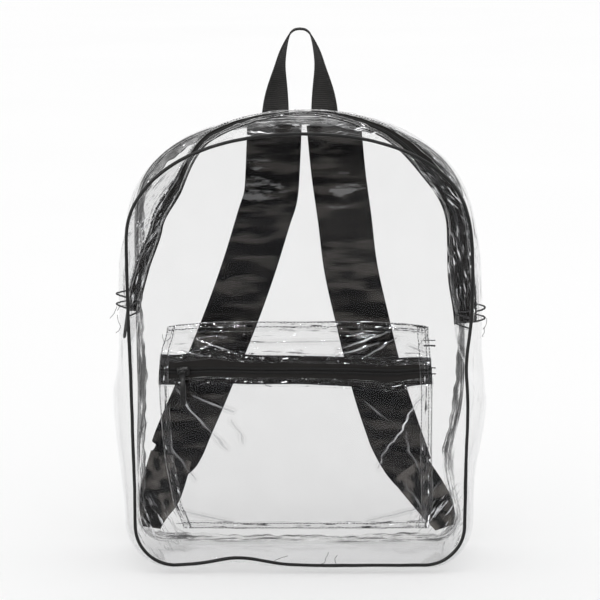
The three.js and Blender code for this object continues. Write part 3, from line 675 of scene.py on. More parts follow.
def clear_vinyl(
    name, film, shine, edge, roughness, wrinkle, wrinkle_size, white=None, dark=None, glint_places=()
):
    """Mirror = shine + edge x (1 - cos)^5, coverage = film + mirror, and the colour is the mean of
    film and mirror colours by their shares of the coverage. Folds get a painted highlight, white and
    not metallic, where they would turn to the light, and painted shade where they would turn away:
    streaks paint the smallest, marks the big creases, and glint places add painted glints."""
    finish = Finish(name)
    first = finish.relief(finish.noise(9.0, 2.0), 0.5)
    bent = finish.relief(finish.noise(wrinkle_size, 3.0, 0.6), wrinkle, 1.0, under=first)
    facing = finish.node("ShaderNodeLayerWeight", sockets={"Blend": 0.5, "Normal": bent}, output=1)
    mirror = shine + edge * facing**5
    haze = finish.noise(30.0, 4.0, 0.7)
    cover = (film * (0.7 + 0.6 * haze) + mirror).clamp(0.0, 1.0)
    share = (mirror / cover).clamp(0.0, 1.0)
    colour = finish.blend(share, (0.02, 0.02, 0.025, 1.0), (0.96, 0.965, 0.98, 1.0))
    marks = finish.node("ShaderNodeAttribute", {"attribute_name": MARKS}, output=2)
    # Above 0 the stored number paints a highlight, below 0 it paints shade.
    painted_highlight = marks.clamp(0.0, 1.0)
    painted_shade = (0.0 - marks).clamp(0.0, 1.0)
    # The white streaks paint highlights and the dark streaks paint shade.
    if white:
        painted_highlight = (painted_highlight + white[4] * streaks(finish, *white[:4])).clamp(0.0, 1.0)
    if dark:
        painted_shade = (painted_shade + dark[4] * streaks(finish, *dark[:4])).clamp(0.0, 1.0)
    # Painted glints at the given places.
    if glint_places:
        painted_highlight = (painted_highlight + 0.8 * painted_glints(finish, glint_places)).clamp(0.0, 1.0)
    # The colour takes the painted shade, then the painted highlight.
    colour = finish.blend(painted_shade, colour, (0.02, 0.02, 0.022, 1.0))
    colour = finish.blend(painted_highlight, colour, (0.93, 0.935, 0.95, 1.0))
    finish.set(Base_Color=colour, Alpha=(cover + painted_highlight + painted_shade).clamp(0.0, 1.0), Normal=bent)
    # Where a highlight is painted the sheet is not metallic, so it shows as a white diffuse colour.
    finish.set(Metallic=(1.0 - painted_highlight).clamp(0.0, 1.0), Roughness=roughness * (0.7 + 0.6 * haze))
    return finish.material


print("clear vinyl helper ready")


# %% [markdown]
# Big creases are drawn point by point: a number stored on the mesh says how much painted highlight
# or painted shade the vinyl gets there. The cut edge of a sheet is a finish of its own, because
# light leaves the sheet there.

# %% Marks and cut edges
def mark(piece, values):
    """Writes one number to each point: above 0 for a painted highlight, below 0 for painted shade."""
    layer = piece.data.attributes.new(MARKS, "FLOAT", "POINT")
    layer.data.foreach_set("value", np.asarray(values, dtype=np.float32).ravel())
    return piece


def cut_edge():
    """The cut edge of the sheet: light gathers in it, so that it is a grey line on white and a pale
    line on black."""
    finish = Finish("cut vinyl edge", Specular_IOR_Level=0.8)
    cloud = finish.noise(90.0, 3.0, 0.6)
    finish.set(Base_Color=finish.blend((cloud - 0.3) * 2.5, grey(0.10), grey(0.75)))
    finish.set(Roughness=0.15 + 0.2 * cloud, Alpha=0.45 + 0.4 * cloud)
    return finish.material


print("cut edge helper ready")


# %% [markdown]
# The same vinyl looks different by how it is worked: flat panels are nearly clean, the gusset has soft
# painted streaks of highlight and shade, and sewn edges are gathered, with crisp white and dark lines
# painted in as highlight and shade. The corners and the zip's shoulders carry bundles of painted
# glints, each with its place, its reach and its slant.

# %% The clear finishes
CLEAR = clear_vinyl("clear vinyl sheet", 0.04, 0.002, 0.3, 0.06, 0.05, 60.0)
# Painted glints at the bottom corners of the front: place, reach and slant.
CORNER_GLINTS = [
    ((-0.142, -0.085, 0.045), 0.042, 62.0),
    ((-0.118, -0.085, 0.030), 0.026, 24.0),
    ((0.134, -0.085, 0.060), 0.038, -58.0),
    ((0.150, -0.085, 0.030), 0.030, -70.0),
]
# Painted glints along the arch zip's shoulders: place, reach and slant.
ZIP_GLINTS = [
    ((0.138, -0.04, 0.360), 0.050, 48.0),
    ((0.160, -0.04, 0.290), 0.055, 80.0),
    ((-0.150, -0.04, 0.340), 0.050, -55.0),
    ((-0.165, -0.04, 0.270), 0.040, -80.0),
    ((-0.030, -0.04, 0.430), 0.050, 6.0),
    ((0.060, -0.04, 0.425), 0.040, -8.0),
]
CLEAR_FRONT = clear_vinyl(
    "clear vinyl front", 0.04, 0.002, 0.3, 0.06, 0.05, 60.0, glint_places=CORNER_GLINTS
)
# In the finishes below, white and dark are streaks of painted highlight and painted shade: scales down
# and across, threshold, gain and strength.
CLEAR_BAND = clear_vinyl(
    "clear vinyl gusset", 0.035, 0.002, 0.32, 0.06, 0.12, 60.0,
    white=(9.0, 150.0, 0.63, 9.0, 0.7), dark=(7.0, 130.0, 0.62, 6.0, 0.32),
)
CLEAR_PUCKER = clear_vinyl(
    "clear vinyl, puckered", 0.04, 0.003, 0.05, 0.07, 0.3, 140.0,
    white=(95.0, 260.0, 0.675, 26.0, 1.0), dark=(18.0, 170.0, 0.58, 7.0, 0.7),
    glint_places=ZIP_GLINTS,
)
CLEAR_SEWN = clear_vinyl(
    "clear vinyl, sewn edge", 0.03, 0.005, 0.06, 0.1, 0.9, 210.0,
    white=(105.0, 330.0, 0.615, 20.0, 1.0), dark=(80.0, 280.0, 0.58, 9.0, 0.75),
)
CLEAR_HEM = clear_vinyl(
    "clear vinyl hem", 0.03, 0.008, 0.3, 0.08, 0.4, 160.0,
    white=(45.0, 330.0, 0.61, 16.0, 0.95), dark=(30.0, 300.0, 0.55, 12.0, 0.9),
)
CUT_EDGE = cut_edge()
clear_finishes = (CLEAR, CLEAR_FRONT, CLEAR_BAND, CLEAR_PUCKER, CLEAR_SEWN, CLEAR_HEM, CUT_EDGE)
print("clear finishes", [finish.name for finish in clear_finishes])

# %% [markdown]
# The black goods differ in how they shine. Piping is smooth vinyl with long soft glints; zip tape is
# a fine matt weave; the straps are flat polyester with a slight sheen and cloudy lighter bands that
# are painted reflection; webbing has ribs across it that catch the light one by one, with painted
# shade in the grooves.

# %% Black goods
def piping_vinyl():
    """Smooth dark vinyl: cloudy roughness and a low unevenness."""
    finish = Finish("black vinyl piping", Specular_IOR_Level=0.1, Coat_Weight=0.05, Coat_Roughness=0.12)
    cloud = finish.noise(40.0, 3.0)
    finish.set(Base_Color=finish.blend(cloud, grey(0.004), grey(0.012)))
    finish.set(Roughness=0.26 + 0.16 * cloud, Normal=finish.relief(finish.noise(220.0, 2.0), 0.12))
    return finish.material


def seam_binding():
    """The back seam: dark vinyl under clear, so that it comes and goes in streaks along the seam."""
    finish = Finish("back seam binding", Specular_IOR_Level=0.6)
    down, across = finish.lengths()
    joined = finish.node("ShaderNodeCombineXYZ", sockets={0: down * 22.0, 1: across * 260.0})
    streak = finish.noise(1.0, 5.0, 0.7, joined)
    apart = finish.node("ShaderNodeSeparateXYZ", sockets={0: finish.place()}, output=2)
    high = ((apart - 0.06) * 5.0).clamp(0.0, 0.6)
    seen = ((streak - 0.46) * 5.0 + high).clamp(0.05, 0.97)
    finish.set(Base_Color=finish.blend(streak, grey(0.006), grey(0.09)), Alpha=seen)
    finish.set(Roughness=0.2 + 0.2 * streak, Normal=finish.relief(finish.noise(160.0, 3.0), 0.3))
    return finish.material


PIPING = piping_vinyl()
BINDING = seam_binding()
print("smooth finishes", PIPING.name, BINDING.name)


# %% [markdown]
# Zip tape is a matt twill that swallows light. The teeth are nylon with a faint gloss, and the sliders
# are enamelled metal, the glossiest black on the bag, worn dull in small clouds.

# %% Tape, teeth and enamel
def woven_tape():
    """A fine twill: two crossed sine waves 1.1 mm apart, and cloudy dust in the colour."""
    finish = Finish("black woven zip tape", Specular_IOR_Level=0.0)
    down, across = finish.lengths()
    twill = (down * (2 * math.pi / 0.0011) + across * (2 * math.pi / 0.0014)).wave()
    rib = (across * (2 * math.pi / 0.0009)).wave()
    weave = 0.5 + 0.25 * twill + 0.25 * rib
    dust = finish.noise(55.0, 4.0, 0.65)
    finish.set(Base_Color=finish.blend(weave * 0.5 + dust * 0.5, grey(0.004), grey(0.016, 0.05)))
    finish.set(Roughness=0.66 + 0.2 * dust, Normal=finish.relief(weave, 0.10))
    return finish.material


def coil_nylon():
    """Moulded nylon teeth: dark, half glossy, a little cloudy."""
    finish = Finish("black nylon coil", Specular_IOR_Level=0.12)
    cloud = finish.noise(300.0, 2.0)
    finish.set(Base_Color=finish.blend(cloud, grey(0.003), grey(0.010)))
    finish.set(Roughness=0.5 + 0.2 * cloud, Normal=finish.relief(cloud, 0.05))
    return finish.material


def enamel():
    """Black enamel on zinc: glossy, and dulled to a greyer tone by wear in small clouds."""
    finish = Finish("black enamel", Specular_IOR_Level=0.15, Coat_Weight=0.05, Coat_Roughness=0.12)
    wear = finish.noise(420.0, 4.0, 0.7)
    finish.set(Base_Color=finish.blend((wear - 0.45) * 3.0, grey(0.004), grey(0.02)))
    finish.set(Roughness=0.22 + 0.25 * wear, Normal=finish.relief(wear, 0.03))
    return finish.material


TAPE = woven_tape()
COIL = coil_nylon()
ENAMEL = enamel()
print("hard finishes", TAPE.name, COIL.name, ENAMEL.name)


# %% [markdown]
# Cloth seen through creased vinyl is broken into patches, some paler than others. They are drawn as
# part of the cloth's colour, since a true reflection would need every small crease to be modelled.

# %% Cloth, webbing and thread
def facets(finish, point, scale, first=0.52):
    """Pale patches with sharp edges in two steps, as creased vinyl in front of black mirrors them. The
    second step lies 0.08 above the first, which is where in the noise the patches begin."""
    cloud = finish.noise(scale, 2.5, 0.55, point)
    low_step = ((cloud - first) * 20.0).clamp(0.0, 1.0)
    high_step = ((cloud - first - 0.08) * 24.0).clamp(0.0, 1.0)
    return 0.55 * low_step + 0.45 * high_step


def strap_polyester():
    """Flat cloth: a fine plain weave, soft level bands painted lighter as reflection, pale patches
    of painted reflection, and pale spots that show only near two places, one on each strap: a crisp
    noise times how near the place is."""
    finish = Finish("black strap cloth", Specular_IOR_Level=0.03)
    down, across = finish.lengths()
    thread = 2 * math.pi / 0.0012
    weave = 0.5 + 0.25 * (down * thread).wave() + 0.25 * (across * thread).wave()
    point = finish.place()
    sockets = {0: point, 1: (0.5, 0.5, 2.0)}
    squashed = finish.node("ShaderNodeVectorMath", {"operation": "MULTIPLY"}, sockets)
    cloud = finish.noise(21.0, 4.0, 0.6, squashed)
    # Soft cloudy bands painted lighter as reflection, then sharp pale patches of painted reflection.
    painted_reflection = finish.blend(((cloud - 0.47) * 5.0).clamp(0.0, 1.0), grey(0.003, 0.02), grey(0.016, 0.08))
    painted_reflection = finish.blend(facets(finish, squashed, 48.0, 0.49), painted_reflection, grey(0.034, 0.08))
    crisp = finish.noise(42.0, 5.0, 0.7, squashed)
    near = 0.0
    for spot, reach in (((-0.038, 0.09, 0.352), 0.045), ((0.042, 0.09, 0.345), 0.026)):
        near = near + nearness(finish, spot, reach)
    # Pale spots near the two places: a crisp noise cut off below a threshold.
    pale_spots = ((crisp + 0.25 * near - 0.66) * 14.0).clamp(0.0, 1.0) * (near * 3.0).clamp(0.0, 1.0)
    finish.set(Base_Color=finish.blend(pale_spots * 0.8, painted_reflection, grey(0.15)))
    soft = finish.relief(finish.noise(28.0, 3.0), 0.9)
    finish.set(Roughness=0.5 + 0.16 * cloud, Normal=finish.relief(weave, 0.05, under=soft))
    return finish.material


def ribbed_webbing(name, rib_depth, low, high, patched=0.0):
    """Cross ribs 2 mm apart with a fine thread along the band, with painted shade that makes the grooves
    darker, and under it the strap cloth's patches of painted reflection, by the share given."""
    finish = Finish(name, Specular_IOR_Level=0.08)
    down, across = finish.lengths()
    rib = 0.5 + 0.5 * (down * (2 * math.pi / 0.002)).wave()
    thread = 0.5 + 0.5 * (across * (2 * math.pi / 0.0012)).wave()
    height = rib * 0.8 + thread * 0.2
    dust = finish.noise(70.0, 4.0, 0.6)
    # Rib tops lighter and grooves darker: painted shade in the grooves, mixed with dust.
    colour = finish.blend(height * 0.7 + dust * 0.3, grey(low), grey(high, 0.03))
    if patched:
        # Pale patches of painted reflection, as on the strap cloth.
        share = patched * facets(finish, finish.place(), 62.0, 0.46)
        colour = finish.blend(share, colour, grey(0.075, 0.08))
    finish.set(Base_Color=colour)
    finish.set(Roughness=0.6 + 0.2 * dust, Normal=finish.relief(height, rib_depth))
    return finish.material


def thread_finish():
    """Black sewing thread: a fine twist along each stitch."""
    finish = Finish("black thread", Specular_IOR_Level=0.25)
    twist = finish.noise(900.0, 2.0)
    finish.set(Base_Color=finish.blend(twist, grey(0.006), grey(0.03)))
    finish.set(Roughness=0.55 + 0.2 * twist, Normal=finish.relief(twist, 0.05))
    return finish.material


STRAP = strap_polyester()
WEBBING = ribbed_webbing("black ribbed webbing", 0.25, 0.002, 0.026)
WEBBING_FINE = ribbed_webbing("black fine webbing", 0.05, 0.003, 0.010, patched=0.9)
THREAD = thread_finish()
print("cloth finishes", STRAP.name, WEBBING.name, WEBBING_FINE.name, THREAD.name)

# %% [markdown]
# The two big panels are flat vinyl that bows out a little and is never quite flat. Rings of points
# round a middle would pinch there, so a square grid is pulled out to the seam's D: a point's ring is
# the square it lies on, and its place on that ring is its share of the way round.

# %% Front and back panels
PANEL_CELLS = 112


def ripples(x, z, seed, count, longest, shortest, height):
    """A sum of plane sine waves in random directions, each as high as its length over the longest."""
    draw = np.random.default_rng(seed)
    total = np.zeros_like(x)
    for _ in range(count):
        length = draw.uniform(shortest, longest)
        way = draw.uniform(0, 2 * np.pi)
        phase = draw.uniform(0, 2 * np.pi)
        run = x * np.cos(way) + z * np.sin(way)
        total += length / longest * np.sin(2 * np.pi * run / length + phase)
    return height * total / np.sqrt(count)


def swell(x, z, face, height):
    """A dome that is nought at the sides, the bottom and the top: (1 - side^2)(1 - up^2)."""
    side = x / face["half_arch"]
    up = (2 * z - face["top"] - face["bottom"]) / (face["top"] - face["bottom"])
    return height * np.maximum(1 - side**2, 0) * np.maximum(1 - up**2, 0)


def square_grid(line, face, cells, inset):
    """Points (x, z) of a square grid pulled out to a seam: the ring is max(|a|, |b|), and the share
    of the way round the square's edge picks the seam's point that the ring is scaled from."""
    a, b = np.meshgrid(np.linspace(-1, 1, cells + 1), np.linspace(-1, 1, cells + 1), indexing="ij")
    ring = np.maximum(np.abs(a), np.abs(b))
    scale = 1 / np.maximum(ring, 1e-9)
    p, q = a * scale, b * scale
    near_one = 1 - 1e-9
    sides = [q <= -near_one, p >= near_one, q >= near_one, p <= -near_one]
    round_square = np.select(sides, [p, 2 + q, 4 - p, 6 - q], 0.0)
    share = np.mod(round_square / 8, 1.0)
    edge = seam_point(line, share) - inset * outward_at(share)
    middle = np.array([0.0, (face["top"] + face["bottom"]) / 2])
    return middle + (edge - middle) * ring[..., None], ring


def panel_points(line, face, y, bulge, seed, ripple):
    """The panel's grid: y is the seam's plane plus the bulge and the ripples, all fading at the edge."""
    flat, ring = square_grid(line, face, PANEL_CELLS, EDGE_INSET)
    x, z = flat[..., 0], flat[..., 1]
    fade = 1 - ring**8
    lift = swell(x, z, face, bulge) + ripples(x, z, seed, 9, 170, 45, ripple)
    return np.stack([x, y + lift * fade, z], axis=-1)


front_points = panel_points(front_line, FRONT_FACE, -HALF_DEPTH, -FRONT_DOME, 3, 0.7)
front_panel = sheet_object("front_panel_sheet", front_points, 0.6)
own(front_panel, CLEAR_FRONT, ["front_panel"])
back_points = panel_points(back_line, BACK_FACE, HALF_DEPTH, BACK_BOW, 5, 0.5)[::-1]
back_panel = sheet_object("back_panel_sheet", back_points, 0.6)
own(back_panel, CLEAR, ["back_panel"])
print("panels", len(front_panel.data.vertices), len(back_panel.data.vertices), "points")

# %% [markdown]
# Each seam is closed by a round vinyl piping, sewn on by hand and so never dead straight: its line
# sways by a few tenths of a millimetre, and its thickness changes as much.

# %% Piping
PIPING_STATIONS = 900
PIPING_SIDES = 14


def piping_points(line, y, seed):
    """A closed tube: round each seam point, a circle in the plane of outward and y, with sway."""
    share = np.arange(PIPING_STATIONS) / PIPING_STATIONS
    draw = np.random.default_rng(seed)
    sway = np.zeros((PIPING_STATIONS, 2))
    thick = np.zeros(PIPING_STATIONS)
    for turns in (5, 9, 14, 23, 37, 61):
        phase = draw.uniform(0, 2 * np.pi, 3)
        angle = 2 * np.pi * turns * share
        sway[:, 0] += np.sin(angle + phase[0]) / turns**0.5
        sway[:, 1] += np.sin(angle + phase[1]) / turns**0.5
        thick += np.sin(angle + phase[2]) / turns**0.5
    at = seam_point(line, share)
    out = outward_at(share)
    turn = 2 * np.pi * np.arange(PIPING_SIDES) / PIPING_SIDES
    radius = PIPING_RADIUS * (1 + 0.05 * thick)[:, None]
    push = radius * np.cos(turn) + 0.25 * sway[:, :1]
    forward = radius * np.sin(turn) + 0.25 * sway[:, 1:]
    x = at[:, :1] + out[:, :1] * push
    z = np.maximum(at[:, 1:] + out[:, 1:] * push, 0.2)
    return np.stack([x, y + forward, z], axis=-1)


front_cord = piping_points(front_line, -HALF_DEPTH, 11)[::-1]
front_piping = grid_object("front_piping_cord", front_cord, True, True)
own(front_piping, PIPING, ["front_piping"])
back_piping = grid_object("back_binding_cord", piping_points(back_line, HALF_DEPTH, 12)[::-1], True, True)
own(back_piping, BINDING, ["back_piping"])
ALLOWANCE_STEPS = 900


def seam_allowance_points(line, y, inner, seed):
    """The raw edges inside the seam, turned flat against the panel: from the seam's line inwards by
    a width that wanders between half and all of inner, a little ahead of the panel."""
    share = np.arange(ALLOWANCE_STEPS) / ALLOWANCE_STEPS
    draw = np.random.default_rng(seed)
    width = np.ones(ALLOWANCE_STEPS)
    for turns in (4, 7, 13, 29, 53, 90):
        width += 0.16 * np.sin(2 * np.pi * turns * share + draw.uniform(0, 6.3)) * (4 / turns) ** 0.25
    reach = np.linspace(0, 1, 8)[None, :] * (inner * np.clip(width, 0.45, 1.4))[:, None]
    at, out = seam_point(line, share), outward_at(share)
    x = at[:, :1] - out[:, :1] * (1.6 + reach)
    z = at[:, 1:] - out[:, 1:] * (1.6 + reach)
    lift = 0.35 * reach * (1 + 0.4 * np.sin(2 * np.pi * 31 * share + 1.0))[:, None]
    return np.stack([x, y - 1.3 - lift, z], axis=-1)


allowance_points = seam_allowance_points(back_line, HALF_DEPTH, 5.5, 15)
allowance = sheet_object("back_seam_allowance", allowance_points, 0.5, True)
own(allowance, BINDING)
print("piping", len(front_piping.data.vertices), "points each")

# %% [markdown]
# The gusset below the zip is one band of clear sheet. It bulges past the piping on both sides and
# lies on the floor under the base. Where it was pulled tight in sewing it has soft folds across it.

# %% Lower gusset
END_GAP = GAP / LOOP_LENGTH
LOWER_ALONG, LOWER_ACROSS = 380, 46


def band_points(share_from, share_to, across_from, across_to, along_cells, across_cells):
    """The gusset's grid between two shares and two places across."""
    share = np.linspace(share_from, share_to, along_cells + 1)[:, None]
    across = np.linspace(across_from, across_to, across_cells + 1)[None, :]
    return gusset_point(share, across)


def lower_gusset_points():
    """The plain band with soft folds across it, strongest by the corners and nought at the seams."""
    points = band_points(ZIP_LEFT - 1 + END_GAP, ZIP_RIGHT - END_GAP, 0.0, 1.0, LOWER_ALONG, LOWER_ACROSS)
    normal = grid_normals(points)
    down = running_length(points, 0)[:, None]
    across = np.linspace(0, 1, LOWER_ACROSS + 1)[None, :]
    inside = 4 * across * (1 - across)
    folds = ripples(down + 0 * across, 60 * across + 0 * down, 21, 7, 120, 26, 0.6)
    high = smooth(points[..., 2], 4, 30)
    return points + normal * (folds * inside * high)[..., None]


lower_points = lower_gusset_points()
lower_gusset = sheet_object("lower_gusset_sheet", lower_points, 0.6)
own(lower_gusset, CLEAR_BAND, ["lower_gusset"], edge=CUT_EDGE)
print("lower gusset", len(lower_gusset.data.vertices), "points")

# %% [markdown]
# The arch zip is two woven tapes with a coil of teeth between them. The clear strips in front of and
# behind it are sewn over the tape's edges, and the thread gathers the vinyl into small puckers,
# which catch the light along the zip; painted glints and highlight streaks in their finish add to it.

# %% Arch zip
ZIP_ALONG = 440
ACROSS_PER_MM = (TAPE_TO - TAPE_FROM) / TAPE_WIDTH
OVERLAP = 5.0


def zip_band(across_from, across_to, across_cells):
    """A stretch of the gusset's section along the whole zip, from its left end to its right end."""
    return band_points(ZIP_LEFT, ZIP_RIGHT, across_from, across_to, ZIP_ALONG, across_cells)


def outward_normals(points):
    """The grid's normals, turned to point away from the bag's middle."""
    normal = grid_normals(points)
    middle = np.array([0.0, 0.0, 200.0])
    sign = np.sign(np.sum(normal * (points - middle), axis=-1).mean())
    return normal * sign


def strip_points(across_from, across_to, cells, sewn_at, seed):
    """A clear strip whose sewn edge rides on the tape, with puckers that die out from the stitching:
    a fast wave along the zip, times exp(-distance from the stitching / 7 mm)."""
    points = zip_band(across_from, across_to, cells)
    normal = outward_normals(points)
    down = running_length(points, 0)[:, None]
    across = np.linspace(across_from, across_to, cells + 1)[None, :]
    away = np.abs(across - sewn_at) / ACROSS_PER_MM
    inside_front = smooth((across - TAPE_FROM) / ACROSS_PER_MM, -3, 0)
    inside_rear = smooth((TAPE_TO - across) / ACROSS_PER_MM, -3, 0)
    on_tape = inside_front * inside_rear
    pucker = ripples(down + 0 * across, 3 * away + 0 * down, seed, 8, 34, 9, 0.75)
    edge = np.minimum(across / 0.06, (1 - across) / 0.06).clip(0, 1)
    lift = on_tape * 1.1 + pucker * np.exp(-away / 7) * edge
    slack = ripples(down + 0 * across, 120 * across + 0 * down, seed + 1, 5, 150, 50, 0.7)
    return points + normal * (lift + slack * edge * (1 - np.exp(-away / 9)))[..., None]


tape_cells = {"front": (TAPE_FROM, TAPE_MIDDLE), "rear": (TAPE_MIDDLE, TAPE_TO)}
for part, (start, end) in tape_cells.items():
    tape = sheet_object(f"main_zip_tape_{part}_cloth", zip_band(start, end, 8), 0.9)
    own(tape, TAPE, [f"main_zip_tape_{part}"])
front_strip = strip_points(0.0, TAPE_FROM + OVERLAP * ACROSS_PER_MM, 20, TAPE_FROM, 31)
rear_strip = strip_points(TAPE_TO - OVERLAP * ACROSS_PER_MM, 1.0, 24, TAPE_TO, 33)
for part, strip in (("front", front_strip), ("rear", rear_strip)):
    made = sheet_object(f"zip_gusset_{part}_sheet", strip, 0.5)
    own(made, CLEAR_PUCKER, [f"zip_gusset_{part}"], edge=CUT_EDGE)


def sewn_cover(points, normal, seed, rough):
    """A narrow gathered strip: the grid moved along its normal by crossed fast waves."""
    down = running_length(points, 0)[:, None] + 0 * points[..., 0]
    across = running_length(points, 1)[None, :] + 0 * points[..., 0]
    gather = ripples(down, across, seed, 10, 16, 4.5, rough)
    return points + normal * (1.9 + gather)[..., None]


for part, start, way in (("front", TAPE_FROM, 1), ("rear", TAPE_TO, -1)):
    ends = sorted((start - way * 2.5 * ACROSS_PER_MM, start + way * 6.0 * ACROSS_PER_MM))
    base = band_points(ZIP_LEFT, ZIP_RIGHT, ends[0], ends[1], 700, 8)
    cover = sewn_cover(base, outward_normals(base), 35, 0.45)
    own(sheet_object(f"main_zip_cover_{part}", cover, 0.4), CLEAR_SEWN, edge=CUT_EDGE)
print("zip strips", front_strip.shape, rear_strip.shape)

# %% [markdown]
# The teeth of a coil zip are loops of one nylon thread. From outside they read as a low ridged band
# with a fine groove down its middle. Each loop is a low arched bar; two rows meet at the groove.

# %% Teeth
TOOTH_PITCH = 1.3


def teeth_object(name, centre, across, up, finish, nodes):
    """Two bars at each station: an arch of five points over half the band's width, given a run of
    0.42 of the pitch to each side along the zip. across, up and along are the station's directions."""
    along = np.cross(across, up)
    arch = np.array([(0.06, -0.2), (0.12, 0.55), (0.5, 1.0), (0.86, 0.75), (1.0, -0.2)])
    stations, corners = len(centre), len(arch)
    grid = np.zeros((stations, 2, 2, corners, 3))
    for row, side in enumerate((-1.0, 1.0)):
        reach = side * arch[:, 0] * COIL_WIDTH / 2
        rise = arch[:, 1] * 1.3
        for end, run in enumerate((-0.42 * TOOTH_PITCH, 0.42 * TOOTH_PITCH)):
            grid[:, row, end] = (
                centre[:, None]
                + across[:, None] * reach[None, :, None]
                + up[:, None] * rise[None, :, None]
                + along[:, None] * (run + 0.25 * side)
            )
    blocks = 2 * stations
    base = (np.arange(blocks) * 2 * corners)[:, None]
    ring = np.arange(corners)
    after = (ring + 1) % corners
    sides = np.stack([ring, after, after + corners, ring + corners], axis=-1)
    faces = (base[:, None] + sides[None]).reshape(-1, 4).tolist()
    faces += (base + ring[::-1]).tolist() + (base + ring + corners).tolist()
    made = make_object(name, grid, faces)
    face_outward(made)
    return own(made, finish, nodes)


def face_outward(made):
    """Turns every face so that its closed block has outward normals."""
    work = bmesh.new()
    work.from_mesh(made.data)
    bmesh.ops.recalc_face_normals(work, faces=work.faces)
    work.to_mesh(made.data)
    work.free()
    made.data.update()


def arch_zip_frames(count):
    """The tape's middle at equal steps from left to right, and its directions across and outward."""
    share = np.linspace(ZIP_LEFT - END_GAP, ZIP_RIGHT + END_GAP, count)
    centre = gusset_point(share, TAPE_MIDDLE)
    across = gusset_point(share, TAPE_TO) - gusset_point(share, TAPE_FROM)
    across /= np.linalg.norm(across, axis=-1, keepdims=True)
    along = np.gradient(centre, axis=0)
    up = np.cross(along, across)
    up /= np.linalg.norm(up, axis=-1, keepdims=True)
    outward = outward_at(share)
    sign = np.sign(up[:, 0] * outward[:, 0] + up[:, 2] * outward[:, 1])
    return centre, across, up * sign[:, None]


tooth_count = int(ZIP_LENGTH / TOOTH_PITCH)
teeth_object("main_zip_teeth", *arch_zip_frames(tooth_count), COIL, ["main_zip_coil"])
print("teeth", tooth_count, "pairs on the arch zip")

# %% [markdown]
# The front pocket is a second sheet ahead of the front panel. Its sides are seams that lean a
# little, and its fullness grows from the seams to the middle. The zip lies across it below a clear
# strip, and all its bands are cut from this one surface.

# %% Pocket
POCKET_WIDTH = 256.0
POCKET_SHIFT = -3.5
POCKET_BOTTOM, POCKET_TOP = 44.0, 241.0
POCKET_ZIP_HEIGHT = 196.5
POCKET_TAPE_WIDTH = 27.0
POCKET_PUFF = 12.0
POCKET_DROOP = 5.0
POCKET_COLUMNS = ("share", "left", "right")
POCKET_SIDES = [
    (0.0, 0.085, 0.012),
    (0.12, 0.05, 0.0),
    (0.36, 0.018, 0.004),
    (0.7, 0.0, 0.004),
    (0.85, 0.008, 0.012),
    (1.0, 0.032, 0.02),
]


def pocket_side(height, side):
    """The pocket's left or right edge at a height."""
    share = (height - POCKET_BOTTOM) / (POCKET_TOP - POCKET_BOTTOM)
    inset = read_table(POCKET_SIDES, POCKET_COLUMNS, "left" if side < 0 else "right", share)
    return POCKET_SHIFT + side * POCKET_WIDTH * (0.5 - inset)


print("pocket side at mid height", round(pocket_side(150.0, 1), 1))


# %% [markdown]
# The pocket's zip does not run straight. It sags and rises by a few millimetres, most at its left
# end, where the slider weighs on it, and the bands above and below follow it less and less.

# %% The sway of the pocket zip
SWAY_COLUMNS = ("x", "low", "middle", "high")
ZIP_SWAY = [
    (-132.0, 0.0, 0.0, 3.0),
    (-112.0, 0.0, 0.0, 2.0),
    (-100.0, 1.0, 0.0, 4.5),
    (-82.0, 3.0, 0.6, 8.0),
    (-62.0, 1.5, 0.4, 3.0),
    (-40.0, 1.0, 0.0, 1.0),
    (0.0, 1.2, 0.0, 0.6),
    (48.0, -1.2, -0.6, -0.8),
    (72.0, -3.4, -1.6, -3.5),
    (90.0, -4.0, -1.8, -1.5),
    (104.0, -1.0, -0.8, -0.4),
    (125.0, 0.5, 0.0, 0.0),
]


def zip_sway(x, height):
    """How far the zip wanders up or down: the table gives it at the tape's lower edge, middle and
    upper edge, straight lines join these, and it dies out 22 mm above and below the tape."""
    low = read_table(ZIP_SWAY, SWAY_COLUMNS, "low", x)
    middle = read_table(ZIP_SWAY, SWAY_COLUMNS, "middle", x)
    high = read_table(ZIP_SWAY, SWAY_COLUMNS, "high", x)
    half = POCKET_TAPE_WIDTH / 2
    off = height - POCKET_ZIP_HEIGHT
    below = smooth(off, -half - 22, -half) * low
    above = (1 - smooth(off, half, half + 22)) * high
    lower = below + (middle - low) * np.clip((off + half) / half, 0, 1)
    upper = middle + (above - middle) * np.clip(off / half, 0, 1)
    return np.where(off < 0, lower, np.where(off < half, upper, above))


def pocket_point(across, height):
    """x runs between the two edges; y stands off the front panel by the puff, which is nought at the
    edges by fourth powers; the upper corners droop by the fourth power of the side."""
    across, height = np.broadcast_arrays(np.asarray(across, float), np.asarray(height, float))
    left, right = pocket_side(height, -1), pocket_side(height, 1)
    x = left + (right - left) * across
    rise = (height - POCKET_BOTTOM) / (POCKET_TOP - POCKET_BOTTOM)
    side = 2 * across - 1
    puffed = POCKET_PUFF * (1 - side**4) * np.maximum(1 - (2 * rise - 1) ** 4, 0)
    seat = -HALF_DEPTH - swell(x, height, FRONT_FACE, FRONT_DOME) - SHEET - GAP
    droop = POCKET_DROOP * np.abs(side) ** 4 * np.maximum(2 * rise - 1, 0)
    return np.stack([x, seat - puffed, height - droop + zip_sway(x, height)], axis=-1)


def pocket_band(low, high, down_cells, across_cells=210):
    """A stretch of the pocket between two heights, from its left to its right edge."""
    height = np.linspace(low, high, down_cells + 1)[:, None]
    across = np.linspace(0, 1, across_cells + 1)[None, :]
    return pocket_point(across, height)


print("pocket surface at the zip", np.round(pocket_point(0.5, POCKET_ZIP_HEIGHT), 1).tolist())
